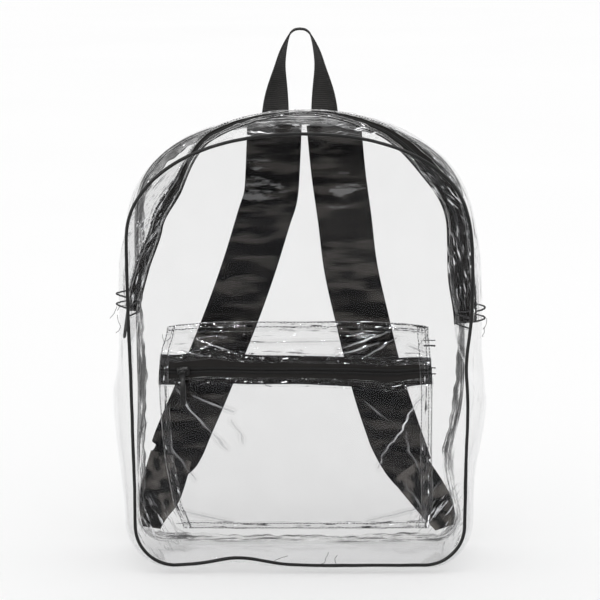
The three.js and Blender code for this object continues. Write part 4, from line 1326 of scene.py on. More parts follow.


# %% [markdown]
# Creased vinyl is smooth between a few sharp ridges. The ridges are listed by their two ends, their
# width and their height, bent a little by two sine waves, and each gets a painted highlight along its
# top.

# %% Creases
CREASE_COLUMNS = ("from_x", "from_z", "to_x", "to_z", "width", "height")
POCKET_CREASES = [
    (-116, 178, -84, 138, 2.0, 1.6),
    (-84, 138, -66, 122, 2.0, 1.0),
    (-122, 128, -108, 104, 1.8, 1.2),
    (-108, 104, -98, 92, 1.6, 0.8),
    (-100, 172, -60, 158, 2.2, 1.2),
    (-64, 150, -52, 128, 1.6, 0.8),
    (114, 172, 78, 116, 2.0, 1.8),
    (78, 116, 72, 104, 1.8, 1.0),
    (60, 168, 82, 150, 1.8, 0.8),
    (96, 140, 112, 96, 1.8, 0.9),
    (-118, 62, -60, 50, 1.6, 0.8),
    (64, 52, 118, 66, 1.8, 0.9),
    (100, 88, 121, 50, 1.6, 0.9),
]
TOP_CREASES = [
    (-100, 226, -58, 212, 1.8, 1.2),
    (-96, 214, -78, 224, 1.6, 1.0),
    (-112, 214, -84, 208, 1.6, 1.2),
    (34, 216, 86, 232, 2.0, 1.5),
    (30, 210, 74, 222, 1.6, 1.4),
    (56, 208, 90, 226, 1.6, 1.2),
    (-60, 222, 60, 224, 1.4, 0.5),
    (100, 218, 118, 210, 1.6, 1.0),
]


def creases(x, z, table):
    """Sharp ridges: for each row, height x exp(-distance to its straight run / width). With them come
    their marks: a painted highlight along the ridge, a little painted shade beside it."""
    total, marks = np.zeros_like(x), np.zeros_like(x)
    x = x + 1.5 * np.sin(0.17 * z) + 0.7 * np.sin(0.53 * z + 0.2 * x)
    for row in table:
        ridge = dict(zip(CREASE_COLUMNS, row))
        from_x, from_z = ridge["from_x"], ridge["from_z"]
        run = np.array([ridge["to_x"] - from_x, ridge["to_z"] - from_z], float)
        share = ((x - from_x) * run[0] + (z - from_z) * run[1]) / (run @ run)
        held = np.clip(share, 0, 1)
        away = np.hypot(x - from_x - held * run[0], z - from_z - held * run[1])
        strength = ridge["height"] * (1 - 0.6 * np.abs(2 * held - 1))
        total += 0.6 * strength * np.exp(-away / ridge["width"])
        # core is the painted highlight on the ridge, and beside is the painted shade next to it.
        core, beside = np.exp(-((away / 0.75) ** 2)), np.exp(-(((away - 2.2) / 1.1) ** 2))
        marks += 0.5 * strength * core - 0.08 * strength * beside
    return total, np.clip(marks, -0.4, 0.9)


def pocket_strip(low, high, cells, sewn_at, seed, lift, table):
    """A clear stretch with puckers that die out from the stitched height, and slack elsewhere. It
    stands off the tape by lift where it overlaps it."""
    points = pocket_band(low, high, cells)
    x, z = points[..., 0], points[..., 2]
    height = np.linspace(low, high, cells + 1)[:, None]
    away = np.abs(height - sewn_at)
    side = np.abs(2 * np.linspace(0, 1, points.shape[1]) - 1)[None, :]
    edge = 1 - side**12
    pucker = ripples(x, 2 * z, seed, 8, 40, 11, 0.9) * np.exp(-away / 9)
    ridges, marks = creases(x, z, table)
    slack = ripples(x, z, seed + 1, 9, 120, 34, 0.8) * (1 - np.exp(-away / 14)) + ridges
    ends = np.minimum((height - POCKET_BOTTOM) / 10, (POCKET_TOP - height) / 10).clip(0, 1)
    over = smooth(-np.abs(height - POCKET_ZIP_HEIGHT), -POCKET_TAPE_WIDTH / 2 - 3, -POCKET_TAPE_WIDTH / 2)
    held = edge * ends
    points[..., 1] -= (lift + np.abs(pucker * held)) * over + (pucker + slack) * held * (1 - over)
    return points.transpose(1, 0, 2), marks.T


print("creases", len(POCKET_CREASES), "on the panel and", len(TOP_CREASES), "on the strip")


# %% [markdown]
# Below the zip is the pocket's panel, above it a narrow strip, and between them the two tapes. Where
# vinyl and tape overlap, a gathered cover shows the puckers that the stitching pulls into the sheet.

# %% Pocket sheets, tapes and covers
zip_top = POCKET_ZIP_HEIGHT + POCKET_TAPE_WIDTH / 2
zip_bottom = POCKET_ZIP_HEIGHT - POCKET_TAPE_WIDTH / 2
panel_part, panel_marks = pocket_strip(
    POCKET_BOTTOM, zip_bottom + OVERLAP, 130, zip_bottom, 41, 1.1, POCKET_CREASES
)
pocket_panel = mark(sheet_object("pocket_panel_sheet", panel_part, 0.5), panel_marks)
own(pocket_panel, CLEAR, ["pocket_panel"], edge=CUT_EDGE)
top_part, top_marks = pocket_strip(zip_top - OVERLAP, POCKET_TOP, 44, zip_top, 43, 1.1, TOP_CREASES)
pocket_top = mark(sheet_object("pocket_top_strip_sheet", top_part, 0.5), top_marks)
own(pocket_top, CLEAR_PUCKER, ["pocket_top_strip"], edge=CUT_EDGE)
lower_tape = pocket_band(zip_bottom, POCKET_ZIP_HEIGHT, 14)
upper_tape = pocket_band(POCKET_ZIP_HEIGHT, zip_top, 14)
for part, tape in (("lower", lower_tape), ("upper", upper_tape)):
    made = sheet_object(f"pocket_zip_tape_{part}_cloth", tape[::-1], 0.9)
    own(made, TAPE, [f"pocket_zip_tape_{part}"])

cover_heights = {"lower": (zip_bottom - 2.0, zip_bottom + 6.5), "upper": (zip_top - 6.5, zip_top + 2.0)}
for part, (low, high) in cover_heights.items():
    base = pocket_band(low, high, 12, 460).transpose(1, 0, 2)
    cover = sewn_cover(base, grid_normals(base), 45 + int(low), 0.5)
    own(sheet_object(f"pocket_zip_cover_{part}", cover, 0.4), CLEAR_SEWN, edge=CUT_EDGE)


print("pocket", panel_part.shape, top_part.shape)


# %% [markdown]
# The pocket's edges are folded over and sewn down, so they are double and catch the light in short
# lines, to which their finish adds painted highlight and shade streaks. Each border is a second
# narrow layer just in front of the pocket.

# %% Folded borders of the pocket
def pocket_hem(from_share, to_share, low, high, seed):
    """A folded border on the pocket: a narrow second layer between two shares across and two
    heights, gathered a little by its stitching. Its rows run along the border."""
    height = np.linspace(low, high, max(int((high - low) / 1.2), 8))[:, None]
    cells = max(int((to_share - from_share) * POCKET_WIDTH / 1.2), 8)
    across = np.linspace(from_share, to_share, cells)[None, :]
    points = pocket_point(across, height)
    level = to_share - from_share > 0.5
    points = points.transpose(1, 0, 2) if level else points[::-1]
    gather = ripples(points[..., 0], points[..., 2], seed, 8, 26, 7, 0.28)
    return points + grid_normals(points) * (1.0 + gather)[..., None]


HEMS = {
    "left": (0.004, 0.036, POCKET_BOTTOM, POCKET_TOP),
    "right": (0.955, 0.996, POCKET_BOTTOM, POCKET_TOP),
    "top": (0.0, 1.0, POCKET_TOP - 9.0, POCKET_TOP),
    "bottom": (0.0, 1.0, POCKET_BOTTOM, POCKET_BOTTOM + 8.0),
}
for number, (part, (start, end, low, high)) in enumerate(HEMS.items()):
    hem = sheet_object(f"pocket_hem_{part}", pocket_hem(start, end, low, high, 71 + number), 0.4)
    own(hem, CLEAR_HEM, edge=CUT_EDGE)

print("folded borders", list(HEMS))


# %% [markdown]
# The pocket zip has the same teeth as the arch zip. Their line follows the pocket's own surface at
# the zip's height, and they stand forward.

# %% Teeth of the pocket zip
pocket_teeth = int(POCKET_WIDTH / TOOTH_PITCH)
teeth_line = pocket_point(np.linspace(0.002, 0.998, pocket_teeth), POCKET_ZIP_HEIGHT)
sideways = np.tile([0.0, 0.0, 1.0], (pocket_teeth, 1))
forward = np.tile([0.0, -1.0, 0.0], (pocket_teeth, 1))
teeth_object("pocket_zip_teeth", teeth_line, sideways, forward, COIL, ["pocket_zip_coil"])
print("teeth", pocket_teeth, "pairs on the pocket zip")

# %% [markdown]
# The straps are slack padded cloth bands that hang in a bow behind the bag. Each follows a table of
# stations seen from behind: how far to the side, how high, and how far off the back panel. A closed
# tube with a flat section gives both faces and the rounded edges at once.

# %% Where the straps lie
STRAP_WIDTH, STRAP_THICK, STRAP_BOW = 53.0, 3.5, 38.0
STRAP_COLUMNS = ("along", "side", "height", "off")
STRAP_LEFT = [
    (0.0, -0.155, 0.985, 0.0),
    (0.13, -0.168, 0.87, 0.42),
    (0.2, -0.182, 0.81, 0.62),
    (0.26, -0.222, 0.76, 0.78),
    (0.4, -0.318, 0.64, 0.95),
    (0.55, -0.43, 0.52, 1.0),
    (0.75, -0.6, 0.36, 0.9),
    (0.9, -0.715, 0.26, 0.7),
    (1.0, -0.79, 0.19, 0.5),
]
STRAP_RIGHT = [
    (0.0, 0.205, 0.987, 0.0),
    (0.13, 0.235, 0.87, 0.42),
    (0.26, 0.275, 0.76, 0.78),
    (0.4, 0.315, 0.64, 0.95),
    (0.55, 0.385, 0.52, 1.0),
    (0.75, 0.49, 0.36, 0.9),
    (0.9, 0.585, 0.25, 0.7),
    (1.0, 0.67, 0.16, 0.5),
]
SEAT = HALF_DEPTH + PIPING_RADIUS + GAP


def band_line(rows, columns, seat, bow, count):
    """The middle line of a band on the back of the bag, at equal steps along its table."""
    along = np.linspace(0, 1, count)
    side = read_table(rows, columns, "side", along) * BACK_WIDTH / 2
    height = read_table(rows, columns, "height", along) * BACK_TOP
    return along, np.stack([side, seat + bow * read_table(rows, columns, "off", along), height], axis=-1)


print("stations", len(STRAP_LEFT), "on the left strap and", len(STRAP_RIGHT), "on the right")


# %% [markdown]
# Strap and webbing are both flat bands, so one function makes either from a middle line and a width.
# A flattened superellipse as the section gives soft edges without a bevel.

# %% A band as a closed tube
def band_tube(line, width, thick, crown, seed, wrinkle):
    """A closed band: its section is a flattened superellipse, set out across the line and along its
    normal. The flat faces are crowned and pulled by wrinkles that run mostly across the band."""
    run = np.gradient(line, axis=0)
    run /= np.linalg.norm(run, axis=-1, keepdims=True)
    across = np.stack([run[:, 2], np.zeros(len(run)), -run[:, 0]], axis=-1)
    across /= np.linalg.norm(across, axis=-1, keepdims=True)
    normal = np.cross(across, run)
    turn = 2 * np.pi * np.arange(48) / 48
    reach = np.sign(np.cos(turn)) * np.abs(np.cos(turn)) ** 0.5
    rise = np.sign(np.sin(turn)) * np.abs(np.sin(turn)) ** 0.6
    half = np.broadcast_to(width, (len(line),)) / 2
    down = np.concatenate([[0.0], np.cumsum(np.linalg.norm(np.diff(line, axis=0), axis=1))])
    lengths, widths = np.meshgrid(down, reach * STRAP_WIDTH / 2, indexing="ij")
    wave = ripples(lengths, 0.35 * widths, seed, 8, 110, 26, wrinkle)
    inside = 1 - np.abs(reach) ** 6
    height = rise * thick / 2 + crown * np.sign(rise) * (1 - reach**2) * 0.5
    lift = height[None, :] + wave * inside[None, :]
    aside = across[:, None] * (half[:, None] * reach)[..., None]
    return line[:, None] + aside + normal[:, None] * lift[..., None]


print("band maker ready")

# %% [markdown]
# Each strap runs on a little past its table, and tapers and turns there towards the corner, where it
# goes over into webbing. The ends' table gives that shift and that share of the width.

# %% Shoulder straps
END_COLUMNS = ("along", "shift", "width")
STRAP_ENDS = {
    "left": [
        (0.93, 0.0, 1.0),
        (0.97, -0.8, 0.96),
        (1.0, -3.0, 0.86),
        (1.03, -6.5, 0.72),
        (1.06, -9.5, 0.6),
    ],
    "right": [
        (0.9, 0.0, 1.0),
        (0.95, 2.0, 0.94),
        (1.0, 5.0, 0.82),
        (1.03, 7.5, 0.7),
        (1.06, 9.5, 0.6),
    ],
}

straps = {}
for part, rows, seed in (("left", STRAP_LEFT, 51), ("right", STRAP_RIGHT, 52)):
    seat = SEAT + STRAP_THICK / 2
    straps[part] = band_line(rows, STRAP_COLUMNS, seat, STRAP_BOW, 260)[1]
    last_step = straps[part][-1] - straps[part][-2]
    run_on = straps[part][-1] + np.linspace(0, 16, 18)[1:, None] * last_step * 0.6
    line = np.concatenate([straps[part], run_on])
    along = np.linspace(0, 1.06, len(line))
    shift = read_table(STRAP_ENDS[part], END_COLUMNS, "shift", along)
    narrow = read_table(STRAP_ENDS[part], END_COLUMNS, "width", along)
    line = line + np.stack([shift, 0 * shift, 0 * shift], axis=-1)
    tube = band_tube(line, STRAP_WIDTH * narrow, 2.6, 0.6, seed, 0.5)
    strap = grid_object(f"shoulder_strap_{part}_cloth", tube, wrap_columns=True)
    own(strap, STRAP, [f"shoulder_strap_{part}"])
for part, line in straps.items():
    print("strap", part, round(float(running_length(line[:, None], 0)[-1])), "mm")

# %% [markdown]
# Below each strap a strip of webbing runs from the strap's end to the bottom corner of the back
# panel, where it is sewn into the binding. It narrows on the way, because it turns edge-on into
# the seam.

# %% Lower webbing
WEBBING_WIDTH, WEBBING_THICK = 42.0, 2.0
WEBBING_COLUMNS = ("along", "side", "height", "off", "width")
WEBBING_LEFT = [
    (0.0, -0.8, 0.198, 1.0, 1.0),
    (0.45, -0.865, 0.115, 0.6, 0.98),
    (0.75, -0.905, 0.07, 0.3, 0.72),
    (1.0, -0.92, 0.034, 0.0, 0.42),
]
WEBBING_RIGHT = [
    (0.0, 0.675, 0.17, 1.0, 1.0),
    (0.45, 0.81, 0.102, 0.6, 0.9),
    (0.75, 0.87, 0.062, 0.3, 0.74),
    (1.0, 0.895, 0.034, 0.0, 0.45),
]
for part, rows in (("left", WEBBING_LEFT), ("right", WEBBING_RIGHT)):
    seat = SEAT + WEBBING_THICK / 2
    away = straps[part][-1, 1] - (STRAP_THICK + WEBBING_THICK) / 2 - 0.6 - seat
    along, line = band_line(rows, WEBBING_COLUMNS, seat, away, 90)
    width = WEBBING_WIDTH * read_table(rows, WEBBING_COLUMNS, "width", along)
    tube = band_tube(line, width, 1.7, 0.0, 61, 0.25)
    webbing = grid_object(f"lower_webbing_{part}_band", tube, wrap_columns=True)
    own(webbing, WEBBING_FINE, [f"lower_webbing_{part}"])

print("webbing", len(WEBBING_LEFT), "stations on each side")


# %% [markdown]
# The carry handle is one ribbon of ribbed webbing that stands up from the crown by its own stiffness.
# It turns on the way: flat against the bag at its feet, and edge-on to the viewer at the top.

# %% The carry handle
HANDLE_RISE, HANDLE_WIDTH, HANDLE_THICK, HANDLE_SPREAD = 84.0, 26.0, 1.6, 49.0
HANDLE_COLUMNS = ("along", "side", "rise", "turn")
HANDLE_LINE = [
    (0.0, 0.98, 0.0, 8.0),
    (0.13, 0.92, 0.27, 38.0),
    (0.26, 0.81, 0.54, 66.0),
    (0.35, 0.66, 0.75, 78.0),
    (0.43, 0.44, 0.92, 88.0),
    (0.47, 0.24, 0.985, 90.0),
    (0.5, 0.0, 1.0, 90.0),
]


def handle_points(steps, across_cells, lift):
    """A ribbon: at each place along, its middle is at side and rise, and its width points by the
    turn, 0 degrees across the bag and 90 degrees front to back. lift moves it out of its own face."""
    along = np.linspace(0, 1, steps + 1)
    mirrored = np.minimum(along, 1 - along)
    sign = np.where(along < 0.5, -1.0, 1.0)
    side = read_table(HANDLE_LINE, HANDLE_COLUMNS, "side", mirrored)
    rise = read_table(HANDLE_LINE, HANDLE_COLUMNS, "rise", mirrored)
    turn = np.radians(read_table(HANDLE_LINE, HANDLE_COLUMNS, "turn", mirrored))
    reach = np.linspace(-HANDLE_WIDTH / 2, HANDLE_WIDTH / 2, across_cells + 1)
    x = (sign * side * HANDLE_SPREAD / 2)[:, None] - (sign * np.cos(turn))[:, None] * reach
    y = HALF_DEPTH + HANDLE_THICK / 2 + np.sin(turn)[:, None] * reach
    z = np.broadcast_to((BACK_TOP + PIPING_RADIUS + GAP + rise * HANDLE_RISE)[:, None], x.shape)
    points = np.stack([x, y, z], axis=-1)
    return points + grid_normals(points) * lift


handle = sheet_object("carry_handle_band", handle_points(360, 14, 0.0), 1.6)
own(handle, WEBBING, ["carry_handle"])
print("handle", len(handle.data.vertices), "points")

# %% [markdown]
# Seams are rows of lock stitches. From one side each stitch is a short thread that comes out of the
# sheet, lies on it and goes back in. All stitches of a row are copies of one small capsule, set
# along the seam's own line.

# %% Stitches
STITCH = np.array(
    [(-0.5, 0.35, -0.5), (-0.34, 1.0, 0.3), (0.0, 1.1, 0.7), (0.34, 1.0, 0.3), (0.5, 0.35, -0.5)]
)


def stitch_row(name, line, up, pitch, length, radius, finish=None, seed=0):
    """Capsules of five rings at equal steps along a line. A ring's place along, its radius and its
    height off the sheet come from STITCH; seeded noise moves each stitch a little sideways."""
    steps = np.linalg.norm(np.diff(line, axis=0), axis=1)
    run = np.concatenate([[0.0], np.cumsum(steps)])
    count = max(int(run[-1] / pitch), 1)
    at = (np.arange(count) + 0.5) * run[-1] / count

    def pick(values):
        return np.stack([np.interp(at, run, values[:, k]) for k in range(3)], axis=-1)

    centre, out = pick(line), pick(up)
    along = pick(np.gradient(line, axis=0))
    along /= np.linalg.norm(along, axis=-1, keepdims=True)
    out -= along * np.sum(along * out, axis=-1, keepdims=True)
    out /= np.linalg.norm(out, axis=-1, keepdims=True)
    side = np.cross(along, out)
    draw = np.random.default_rng(seed)
    centre = centre + side * draw.normal(0, 0.12, (count, 1))
    turn = 2 * np.pi * np.arange(6) / 6
    high = STITCH[:, 2][:, None] + STITCH[:, 1][:, None] * np.sin(turn)
    wide = STITCH[:, 1][:, None] * np.cos(turn)
    grid = (
        centre[:, None, None]
        + along[:, None, None] * (STITCH[:, 0] * length)[None, :, None, None]
        + out[:, None, None] * (radius * high)[None, :, :, None]
        + side[:, None, None] * (radius * wide)[None, :, :, None]
    )
    rings, sides = len(STITCH), len(turn)
    base = (np.arange(count) * rings * sides)[:, None]
    quads = grid_faces(rings, sides, False, True)
    faces = (base[:, None] + quads[None]).reshape(-1, 4).tolist()
    cap = np.arange(sides)
    faces += (base + cap).tolist() + (base + (rings - 1) * sides + cap[::-1]).tolist()
    made = make_object(name, grid, faces)
    face_outward(made)
    return own(made, finish or THREAD)


def pocket_line(across, height, lift):
    """A line on the pocket's face from arrays of places, standing off it by lift."""
    across, height = np.broadcast_arrays(across, height)
    line = pocket_point(across, height)
    step = 0.004
    along = pocket_point(across + step, height) - pocket_point(across - step, height)
    rising = pocket_point(across, height + 0.5) - pocket_point(across, height - 0.5)
    out = np.cross(along, rising)
    out /= np.linalg.norm(out, axis=-1, keepdims=True)
    return line + out * lift, out


print("stitch of", len(STITCH), "rings")


# %% [markdown]
# The pocket is sewn with several rows: two along its top and bottom, two on the left and three on the
# right. Each row is named with its way and its distance from the edge.

# %% Seams of the pocket
POCKET_ROWS = {
    "top_outer": ("level", POCKET_TOP - 0.8),
    "top_inner": ("level", POCKET_TOP - 4.8),
    "bottom_outer": ("level", POCKET_BOTTOM + 0.8),
    "bottom_inner": ("level", POCKET_BOTTOM + 5.6),
    "left_outer": ("left", 1.0),
    "left_inner": ("left", 7.0),
    "right_outer": ("right", 1.0),
    "right_middle": ("right", 3.8),
    "right_inner": ("right", 10.5),
}
for row, (way, place) in POCKET_ROWS.items():
    if way == "level":
        line, out = pocket_line(np.linspace(0.006, 0.994, 240), np.full(240, place), 0.35)
    else:
        height = np.linspace(POCKET_BOTTOM + 1, POCKET_TOP - 1, 240)
        width = pocket_side(height, 1) - pocket_side(height, -1)
        across = place / width if way == "left" else 1 - place / width
        line, out = pocket_line(across, height, 0.35)
    stitch_row(f"pocket_stitches_{row}", line, out, 3.1, 2.7, 0.38, seed=len(row))

print("pocket rows", list(POCKET_ROWS))


# %% [markdown]
# Two fine rows hold each side of the arch zip to its tape, and at both ends of the zip two coarse
# rows cross the gusset, where the lower band is sewn to the zip.

# %% Seams of the arch zip
for row, across, lift in (("front", TAPE_FROM, 1.55), ("rear", TAPE_TO, 1.55)):
    inward = 1 if row == "front" else -1
    for number, in_from_edge in enumerate((1.4, 3.8)):
        place = across + inward * in_from_edge * ACROSS_PER_MM
        share = np.linspace(ZIP_LEFT, ZIP_RIGHT, 700)
        line = gusset_point(share, place)
        beside = gusset_point(share, place + 0.01) - gusset_point(share, place - 0.01)
        out = np.cross(np.gradient(line, axis=0), beside)
        out /= np.linalg.norm(out, axis=-1, keepdims=True)
        outward = outward_at(share)
        sign = np.sign(out[:, 0] * outward[:, 0] + out[:, 2] * outward[:, 1])[:, None]
        name = f"main_zip_stitches_{row}_{number + 1}"
        stitch_row(name, line + out * sign * lift, out * sign, 3.0, 2.4, 0.28, seed=number)

for end, share_at, way in (("left", ZIP_LEFT, -1), ("right", ZIP_RIGHT, 1)):
    for number, from_end in enumerate((1.2, 10.5)):
        share = share_at + way * from_end / LOOP_LENGTH
        across = np.linspace(0.02, 0.98, 200)
        line = gusset_point(share, across)
        outward = outward_at(np.array([share]))[0]
        out = np.tile([outward[0], 0.0, outward[1]], (len(across), 1))
        stitch_row(f"end_seam_{end}_{number + 1}", line + out * 1.7, out, 2.6, 2.6, 0.8, seed=number)
print("arch zip and end seams: 8 rows")

# %% [markdown]
# Where a seam starts or stops, the thread's ends are left long. They are stiff enough to stand off
# the vinyl in small curls, and on a clear bag they are plain to see.

# %% Thread ends
THREAD_ENDS = [
    ("end_left_low", (-174.5, 4.0, 236.0), (-0.1, 0.1, -1.0), 20.0, 3),
    ("end_left_mid", (-173.0, -16.0, 243.0), (0.3, -0.2, 0.5), 16.0, 4),
    ("end_left_high", (-172.0, -34.0, 250.0), (-0.2, -0.3, -0.6), 14.0, 5),
    ("end_right_low", (175.5, -6.0, 226.0), (-0.2, -0.3, -1.0), 15.0, 6),
    ("end_right_high", (176.0, -30.0, 238.0), (0.1, -0.4, -0.7), 12.0, 7),
    ("pocket_top_left", (-128.0, -66.5, 228.0), (0.3, -0.3, -0.6), 14.0, 8),
    ("pocket_top_left_low", (-126.0, -66.5, 222.0), (0.6, -0.3, 0.2), 10.0, 9),
    ("pocket_top_right", (117.0, -66.5, 226.0), (-0.5, -0.3, -0.5), 14.0, 10),
    ("pocket_low_left", (-108.0, -66.0, 47.0), (-0.6, -0.3, 0.2), 9.0, 11),
    ("pocket_low_right", (119.0, -66.0, 47.0), (0.5, -0.3, 0.4), 9.0, 12),
    ("foot_left", (-24.0, -66.0, 12.5), (0.6, -0.2, 0.45), 14.0, 13),
    ("foot_middle", (20.0, -66.0, 9.5), (0.9, -0.2, 0.25), 15.0, 14),
    ("foot_right", (34.0, -66.0, 9.5), (-0.15, -0.2, 0.8), 10.0, 15),
    ("side_left", (-150.0, -66.0, 130.0), (0.2, -0.2, 0.9), 18.0, 16),
]


def thread_end(name, start, way, length, seed):
    """A thin tube whose direction turns by small seeded steps as it leaves its start."""
    draw = np.random.default_rng(seed)
    steps = 22
    turns = np.cumsum(draw.normal(0, 0.16, (steps, 3)), axis=0)
    ways = unit(np.array(way))[None, :] + turns
    ways /= np.linalg.norm(ways, axis=1, keepdims=True)
    line = np.array(start) + np.concatenate([[[0.0, 0.0, 0.0]], np.cumsum(ways * length / steps, axis=0)])
    run = np.gradient(line, axis=0)
    run /= np.linalg.norm(run, axis=1, keepdims=True)
    side = np.cross(run, [0.3, 1.0, 0.2])
    side /= np.linalg.norm(side, axis=1, keepdims=True)
    up = np.cross(side, run)
    turn = 2 * np.pi * np.arange(6) / 6
    aside = side[:, None] * np.cos(turn)[None, :, None]
    above = up[:, None] * np.sin(turn)[None, :, None]
    grid = line[:, None] + 0.24 * (aside + above)
    made = grid_object(f"thread_end_{name}", grid, wrap_columns=True)
    face_outward(made)
    return own(made, THREAD)


for name, start, way, length, seed in THREAD_ENDS:
    thread_end(name, start, way, length, seed)

BARTACKS = [(120.5, 222.5, 0.45), (120.5, 217.5, 0.8), (121.0, 196.5, 0.55), (121.0, 191.0, 0.6)]
for number, (x, z, radius) in enumerate(BARTACKS):
    line = np.stack([np.linspace(x - 5.5, x + 5.5, 20), np.full(20, -66.8), np.full(20, z)], axis=-1)
    outward = np.tile([0.0, -1.0, 0.0], (20, 1))
    stitch_row(f"pocket_bartack_{number + 1}", line, outward, 2.2, 2.4, radius, seed=90 + number)
print("thread ends", len(THREAD_ENDS), "bartacks", len(BARTACKS))

# %% [markdown]
# A slider is a small enamelled die casting: a shield-shaped plate with rounded edges, a raised bridge
# and a pin, and on the pin a flat pull with a sunken oval. Both sliders are made once in their own
# frame, where the teeth lie at y = 0 and the pull hangs down, and then set into place.

# %% Shapes of the sliders
SLIDER_LENGTH, SLIDER_WIDTH, SLIDER_THICK = 12.0, 9.0, 3.0
PULL_LENGTH, PULL_WIDTH, PULL_THICK = 32.0, 5.3, 1.2
PIN_RADIUS, PIN_CLEARANCE, EAR_THICK, EYE_WALL = 0.8, 0.35, 1.2, 0.7
PIN_OUT = SLIDER_THICK + PIN_RADIUS + PIN_CLEARANCE + 1.1
COIL_HEIGHT = 2.6
SLIDER_SEAT = COIL_HEIGHT / 2 + GAP


def place_in(frame, points):
    """Points of a part's own frame set into the bag: origin + x X + y Y + z Z."""
    origin, axes = frame
    return origin + np.asarray(points) @ axes


def rounded_plate(outline, y_from, y_to, bevel):
    """A plate as a stack of four rings: the outline drawn in by the bevel at both faces. Returns the
    rings as a grid, which closes across and is capped at its ends."""
    middle = outline.mean(axis=0)
    reach = np.linalg.norm(outline - middle, axis=1, keepdims=True)
    inner = middle + (outline - middle) * (1 - bevel / reach)
    way = np.sign(y_to - y_from)
    rings = [
        (inner, y_from),
        (outline, y_from + way * bevel),
        (outline, y_to - way * bevel),
        (inner, y_to),
    ]
    return np.stack([np.insert(ring, 1, y, axis=1) for ring, y in rings])


def shield(across, tall, along_x):
    """A slider seen from outside: a superellipse, narrower by a fifth towards its closed end."""
    turn = 2 * np.pi * np.arange(40) / 40
    x = np.sign(np.cos(turn)) * np.abs(np.cos(turn)) ** 0.55 * across / 2
    z = np.sign(np.sin(turn)) * np.abs(np.sin(turn)) ** 0.55 * tall / 2
    if along_x:
        return np.stack([x, z * (0.9 + 0.1 * np.clip(x / (across / 2), -1, 1))], axis=-1)
    return np.stack([x * (0.9 + 0.1 * np.clip(z / (tall / 2), -1, 1)), z], axis=-1)


def rod(x_from, x_to, radius, y, sides=16):
    """A round rod along X with eased ends, as rings from one end to the other."""
    turn = 2 * np.pi * np.arange(sides) / sides
    stops = [(x_from, 0.75), (x_from + 0.2, 1.0), (x_to - 0.2, 1.0), (x_to, 0.75)]
    circle = np.stack([0 * turn, radius * np.sin(turn), radius * np.cos(turn)], axis=-1)
    return np.stack([np.array([x, y, 0.0]) + k * circle for x, k in stops])


def metal_piece(name, frame, points, body, nodes=(), wrap_rows=False):
    """One closed grid of a slider or pull, in enamel."""
    made = grid_object(name, place_in(frame, points), wrap_rows=wrap_rows, wrap_columns=True)
    face_outward(made)
    return own(made, ENAMEL, nodes, body)


print("slider seat", round(SLIDER_SEAT, 2), "mm and pin", round(PIN_OUT, 2), "mm above the teeth")


# %% [markdown]
# A slider is put together from these shapes: plate, lip, two ears and a pin. The pull is an eye round
# the pin and a tab with a waist, and it rides on its own body, because it swings.

# %% Slider and pull
def make_slider(name, frame, across, tall, along_x):
    """The plate, a lower lip that holds the teeth, two ears and the pin."""
    plate = rounded_plate(shield(across, tall, along_x), -0.9, -SLIDER_THICK, 0.45)
    metal_piece(f"{name}_slider_plate", frame, plate, "root", [f"{name}_slider"])
    lip = shield(across * 0.94, tall * 0.94, along_x)
    metal_piece(f"{name}_slider_lip", frame, rounded_plate(lip, 0.0, -0.95, 0.25), "root")
    place = PULL_WIDTH / 2 + PIN_CLEARANCE + EAR_THICK / 2
    turn = 2 * np.pi * np.arange(28) / 28
    for side, word in ((-1, "left"), (1, "right")):
        reach = PIN_OUT * 0.5 + 0.15
        ear = np.stack([-PIN_OUT * 0.5 - 1.15 - reach * np.cos(turn), 1.6 * np.sin(turn)], axis=-1)
        ear[:, 0] = np.clip(ear[:, 0], -PIN_OUT - PIN_RADIUS - 0.5, -SLIDER_THICK + 0.35)
        flat = rounded_plate(ear, side * place - EAR_THICK / 2, side * place + EAR_THICK / 2, 0.25)
        metal_piece(f"{name}_slider_ear_{word}", frame, flat[..., [1, 0, 2]], "root")
    metal_piece(f"{name}_slider_pin", frame, rod(-place, place, PIN_RADIUS, -PIN_OUT), "root")


def make_pull(name, frame, body):
    """The pull in the slider's frame, turned about its pin: an eye, and a tab whose front face has an
    oval sunk by a third of its thickness near the round end."""
    turn = 2 * np.pi * np.arange(64) / 64
    bore = PIN_RADIUS + PIN_CLEARANCE
    half = PULL_WIDTH / 2
    section = [(-half, bore), (-half, bore + EYE_WALL), (half, bore + EYE_WALL), (half, bore)]
    circle = np.stack([0 * turn, np.sin(turn), np.cos(turn)], axis=-1)
    eye = np.stack([np.array([x, 0.0, 0.0]) + r * circle for x, r in section])
    metal_piece(f"{name}_pull_eye", frame, eye, body, [f"{name}_pull"], wrap_rows=True)
    top, end = -bore - 0.25, -PULL_LENGTH + half
    down = np.linspace(top, end, 16)
    waist = 1 - 0.16 * np.exp(-(((down + 9.0) / 5.0) ** 2))
    bottom = np.pi * np.arange(1, 32) / 32
    left = np.stack([-half * waist, down], -1)
    arc = np.stack([-half * np.cos(bottom), end - half * np.sin(bottom)], -1)
    right = np.stack([half * waist[::-1], down[::-1]], -1)
    outline = np.concatenate([left, arc, right])
    count = len(outline)
    middle = np.array([0.0, end + 0.6])
    angle = np.arctan2(outline[:, 1] - middle[1], outline[:, 0] - middle[0])
    oval = middle + np.stack([1.35 * np.cos(angle), 4.0 * np.sin(angle)], -1)
    floor_ring = middle + np.stack([1.1 * np.cos(angle), 3.7 * np.sin(angle)], -1)
    inset = outline * np.array([0.9, 1.0])
    thick = PULL_THICK / 2
    rings = [
        (inset, thick),
        (outline, thick - 0.25),
        (outline, -thick + 0.25),
        (inset, -thick),
        (oval, -thick),
        (floor_ring, -thick + 0.4),
    ]
    grid = np.stack([np.stack([ring[:, 0], np.full(count, y), ring[:, 1]], -1) for ring, y in rings])
    metal_piece(f"{name}_pull_tab", frame, grid, body)


